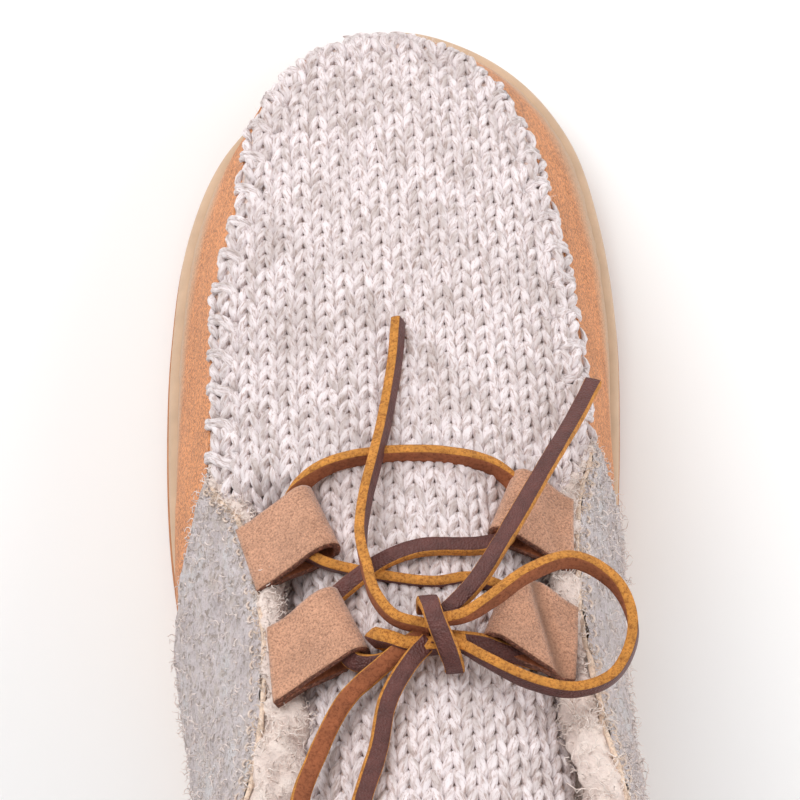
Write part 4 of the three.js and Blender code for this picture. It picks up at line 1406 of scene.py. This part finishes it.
class SLIPPER_OT_apron(bpy.types.Operator):
    """Knit the apron over the toes, with its whip-stitched border"""

    bl_idname = "slipper.apron"
    bl_label = "Knitted apron"

    def execute(self, context):
        sizes = context.scene.slipper_sizes
        pitch = sizes.whip * 1000

        def surface(x, s):
            return apron_surface(x, s, pitch)

        toe, throat = Strands(7), Strands(7)
        x = np.linspace(-46, 46, 461)
        for number, s0 in enumerate(np.arange(KNIT_START, APRON_FRONT, -sizes.course * 1000)):
            inside, run, _ = seam_place(x, np.full(len(x), min(s0, 108.0)))
            bulge = np.abs(np.sin(np.pi * run / pitch))
            able = x[inside > 0.8 - 1.1 * bulge - 1.6 * (1 - float(ease(8, 16, s0)))]
            if len(able) < 30:
                continue
            able = able[14:-14] if s0 < 12 else able
            knit_row(s0, able[0], able[-1], surface, throat if number < THROAT_ROWS else toe, sizes, number)
        throat.piece("apron_knit_throat", yarn_finish(), "knit")
        toe.piece("apron_knit_toe", yarn_finish(), "knit")
        self.backing(surface)
        self.border(surface, pitch)
        self.fuzz(context, surface)
        return {"FINISHED"}

    def backing(self, surface):
        """The close inner face of the knit, seen only between stitches."""
        share = np.linspace(0, 1, 100)[:, None]
        t = np.linspace(0, THROAT, 110)
        lateral, medial = top_curve(t)[:, None], top_curve(-t)[:, None]
        plan = lateral + (medial - lateral) * share[None, :, 0, None]
        points, normal = surface(plan[..., 0].ravel(), plan[..., 1].ravel() + MIDDLE)
        shell("apron_backing", (points + normal * 0.15).reshape(len(t), 100, 3), shaded_backing_finish(), "knit")

    def border(self, surface, pitch):
        """Whip stitches over the apron's edge, each of two strands side by side."""
        bars = Strands(7)
        reach = np.array([6.0, 5.1, 4.0, 2.8, 1.5, 0.5])
        rise = np.array([-1.4, 0.5, 1.25, 1.45, 1.3, 1.0])
        steps = np.linspace(0, 1, 18)
        taper = np.interp(steps, [0, 0.15, 0.9, 1], [0.6, 1, 1, 0.6])
        for place in np.arange(pitch, SEAM_RUN[-1] - 2, pitch):
            at = np.array([np.interp(place, SEAM_RUN, SEAM[:, k]) for k in range(3)])
            t = np.interp(place, SEAM_RUN, SEAM_T)
            out = outward(np.array([t]))[0]
            along = unit((top_curve(t + 1e-3) - top_curve(t - 1e-3)))[0]
            slant = 0.7 * ease(18, 60, at[1] + MIDDLE) if t > 0 else -0.12
            x = at[0] - out[0] * reach + along[0] * slant * reach
            s = at[1] + MIDDLE - out[1] * reach + along[1] * slant * reach
            base, normal = surface(x, s)
            down = at + out * np.array([[0.55], [0.5]]) + [[0, 0, -1.0], [0, 0, -2.6]]
            fine = smooth_curve(np.concatenate([base + normal * rise[:, None], down]))(steps)
            facing = np.concatenate([np.tile(normal[2], (13, 1)), np.tile(out, (5, 1))])
            for offset in (-0.55, 0.55):
                bars.add(fine + along * offset, facing, 0.68 * taper)
        bars.piece("whip_stitches", yarn_finish(), "knit")

    def fuzz(self, context, surface):
        """Loose fibres on the knit."""
        rng = np.random.default_rng(91)
        t, q = rng.uniform(0, THROAT, YARN_HAIRS), rng.uniform(0, 1, YARN_HAIRS)
        lateral, medial = top_curve(t), top_curve(-t)
        plan = lateral + (medial - lateral) * q[:, None]
        plan = plan[seam_place(plan[:, 0], plan[:, 1] + MIDDLE)[0] > 1]
        points, normal = surface(plan[:, 0], plan[:, 1] + MIDDLE)
        ways = unit(normal * 0.45 + rng.normal(scale=0.8, size=points.shape))
        lengths = rng.uniform(0.6, 1.6, len(points))
        finish = fuzz_finish("yarn fibres", tuple(context.scene.slipper_colours.yarn))
        hairs("apron_fuzz", points + normal * 1.2, ways, lengths, 0.06, finish, "knit", 92)


class SLIPPER_OT_tongue(bpy.types.Operator):
    """Knit the tongue over its fleece pad"""

    bl_idname = "slipper.tongue"
    bl_label = "Knitted tongue"

    def execute(self, context):
        sizes = context.scene.slipper_sizes
        strands = Strands(7)
        course = sizes.course * 1000
        for number, s0 in enumerate(np.arange(KNIT_START + course, TONGUE_TOP, course), 41):
            half = float(tongue_half(s0)) * 0.985
            low, high = TONGUE_CENTRE - half, TONGUE_CENTRE + half
            if s0 < 122:
                low = min(low, float(rim_at(s0, 1)[0]) + 1.2)
                high = max(high, float(rim_at(s0, 0)[0]) - 1.2)
            knit_row(s0, low, high, tongue_surface, strands, sizes, number)
        strands.piece("tongue_knit", yarn_finish(), "knit")
        self.pad()
        self.hem()
        return {"FINISHED"}

    def pad(self):
        """The knit's close inner face, with fleece behind it."""
        side = np.linspace(-1, 1, 60)
        s = np.linspace(107.6, 191.4, 90)
        ss, kk = (grid.ravel() for grid in np.meshgrid(s, side, indexing="ij"))
        face, normal = tongue_surface(TONGUE_CENTRE + tongue_half(ss) * kk, ss)
        face = face + normal * 0.15
        back = face - [0, 0, TONGUE_THICK - 1.2]
        back[:, 2] += 0.5 * noise(back, 4.0, 101) - 0.3
        faces = thick_sheet_faces(len(s), len(side))
        piece = make_piece("tongue_pad", np.concatenate([face, back]), faces,
                           [shaded_backing_finish(), fleece_finish()],
                           kinds=np.repeat([0, 1, 1], [len(part) for part in faces]), slot="knit")
        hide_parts("tongue")

    def hem(self):
        """A rolled strand of yarn that finishes the tongue's free edge."""
        s = np.concatenate([np.linspace(124, 191.4, 200), [191.6]])
        half = tongue_half(s) * np.where(s > 191.5, 0, 1)
        left = np.stack([TONGUE_CENTRE + half, s], axis=1)
        right = np.stack([TONGUE_CENTRE - half, s], axis=1)[::-1]
        plan = np.concatenate([left, right[1:]])
        points, normal = tongue_surface(plan[:, 0], plan[:, 1])
        strand = Strands(7)
        bumps = 0.12 * np.sin(np.arange(len(points)) * 1.7)
        strand.add(points - [0, 0, 0.6], normal, 1.15 + bumps)
        strand.piece("tongue_hem", yarn_finish(), "knit")


# Tabs

# Name, middle of the sewn end and of the fold as x, station, height, how far the sewn end's corners stand
# in from its middle on the toe's and on the heel's side, depth of a crease across
TABS = [
    ("tab_front_lateral", (31.2, 128.9, 73.6), (16.2, 121.2, 76.9), 1.2, 0.0, 0.0),
    ("tab_front_medial", (-33.8, 127.5, 73.4), (-18.6, 119.2, 75.9), 5.5, 0.6, 0.2),
    ("tab_rear_lateral", (28.2, 151.3, 85.6), (11.8, 142.6, 88.6), 4.6, -0.5, 0.0),
    ("tab_rear_medial", (-32.2, 150.0, 85.2), (-15.8, 141.0, 87.8), 5.2, 0.8, 1.35),
]
TAB_WIDTH = 14.6
TAB_THICK = 1.35
TAB_SLOPE = 0.5
TAB_BEND = 2.55  # radius of the fold, at the middle of the strip's thickness
TAB_GAP = 0.75  # half the distance between the layers' middles at the sewn end
CREASE_WIDTH = 1.5


class SLIPPER_OT_tabs(bpy.types.Operator):
    """Fold the four suede tabs that the lace runs through"""

    bl_idname = "slipper.tabs"
    bl_label = "Lace tabs"

    def execute(self, context):
        for number, (name, sewn, fold, toe_in, heel_in, crease) in enumerate(TABS):
            sewn_end, fold_end = placed([sewn, fold])
            self.tab(name, sewn_end, fold_end, (toe_in, heel_in), crease, number)
        return {"FINISHED"}

    def profile(self, neck):
        """The middle of the strip's thickness, from the lower sewn end round the fold to the upper one."""
        opening = TAB_BEND - TAB_GAP
        lower = [(d, -TAB_GAP - opening * float(ease(0.25, 1, d / neck)) * 0.9)
                 for d in np.linspace(0, neck, 16)]
        upper = [(d, TAB_GAP + opening * float(ease(0.2, 1, d / neck))) for d in np.linspace(neck, 0, 16)]
        swing = np.linspace(-math.pi / 2, math.pi / 2, 17)[1:-1]
        turn = [(neck + TAB_BEND * math.cos(a), TAB_BEND * math.sin(a)) for a in swing]
        return np.array(lower + turn + upper)

    def tab(self, name, sewn, fold, corners_in, crease_depth, seed):
        along = fold - sewn
        long = np.linalg.norm(along)
        along /= long
        aside = unit(np.cross(along, [0, -TAB_SLOPE, 1])[None])[0]
        up = np.cross(aside, along)
        neck = long - TAB_BEND
        profile = self.profile(neck)
        tangent = unit(np.gradient(profile, axis=0))
        side = np.stack([tangent[:, 1], -tangent[:, 0]], axis=1)
        w = np.linspace(-1, 1, 26)
        heelward = w * math.copysign(1, aside[1])
        stand_in = np.interp(heelward, [-1, 1], corners_in)
        crease_line = neck * (0.95 - 0.75 * (heelward + 1) / 2)
        sheets, dark = [], []
        for face in (TAB_THICK / 2, -TAB_THICK / 2):
            flat = profile + side * face
            share = np.clip(1 - flat[:, :1] / neck, 0, 1)
            reach = flat[:, :1] + stand_in * share
            off_crease = (reach - crease_line) / CREASE_WIDTH
            crease = crease_depth * np.exp(-off_crease**2) * (flat[:, 1:] > 0)
            # painted shade along the crease, which the tab finish reads as the field named crease
            dark.append(np.clip(crease * 0.6, 0, 0.8).ravel())
            rise = flat[:, 1:] - crease
            sheets.append(sewn + along * reach[:, :, None] + up * rise[:, :, None]
                          + aside * (w * TAB_WIDTH / 2)[None, :, None])
        rows, columns = sheets[0].shape[:2]
        both = np.stack(sheets).reshape(2, -1, 3)
        middle = both.mean(axis=0)
        wave = 0.35 * noise(middle, 6.0, 111 + seed) + 0.12 * noise(middle, 2.0, 121 + seed)
        sway = 0.25 * noise(middle, 5.0, 131 + seed)
        both = both + up * wave[None, :, None] + aside * sway[None, :, None]
        faces = thick_sheet_faces(rows, columns)
        piece = make_piece(name + "_suede", both.reshape(-1, 3), faces,
                           [tab_finish(), lace_finishes()[2], cut_finish()],
                           kinds=np.repeat([0, 1, 2], [len(part) for part in faces]),
                           fields={"crease": np.concatenate(dark)}, slot="suede")
        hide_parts(name)


# Panel and run

OPERATORS = (
    SLIPPER_OT_stage, SLIPPER_OT_lace_bow, SLIPPER_OT_lace_bars, SLIPPER_OT_sole, SLIPPER_OT_vamp,
    SLIPPER_OT_quarters, SLIPPER_OT_lining, SLIPPER_OT_apron, SLIPPER_OT_tongue, SLIPPER_OT_tabs,
)
GROUPS = (
    ("slipper_sizes", SlipperSizes), ("slipper_colours", SlipperColours), ("slipper_studio", SlipperStudio),
)


class SLIPPER_PT_pieces(bpy.types.Panel):
    """The slipper's pieces"""

    bl_idname = "SLIPPER_PT_pieces"
    bl_label = "Moccasin slipper"
    bl_space_type = "VIEW_3D"
    bl_region_type = "UI"
    bl_category = "Slipper"

    def draw(self, context):
        for key, group in GROUPS:
            settings = getattr(context.scene, key)
            box = self.layout.box()
            for name in group.__annotations__:
                box.prop(settings, name)
        for operator in OPERATORS:
            self.layout.operator(operator.bl_idname)


def register():
    for key, group in GROUPS:
        bpy.utils.register_class(group)
        setattr(bpy.types.Scene, key, PointerProperty(type=group))
    for item in (*OPERATORS, SLIPPER_PT_pieces):
        bpy.utils.register_class(item)


def unregister():
    for item in (SLIPPER_PT_pieces, *reversed(OPERATORS)):
        bpy.utils.unregister_class(item)
    for key, group in GROUPS:
        delattr(bpy.types.Scene, key)
        bpy.utils.unregister_class(group)


def main():
    register()
    for operator in OPERATORS:
        group, name = operator.bl_idname.split(".")
        getattr(getattr(bpy.ops, group), name)()


if __name__ == "__main__":
    main()
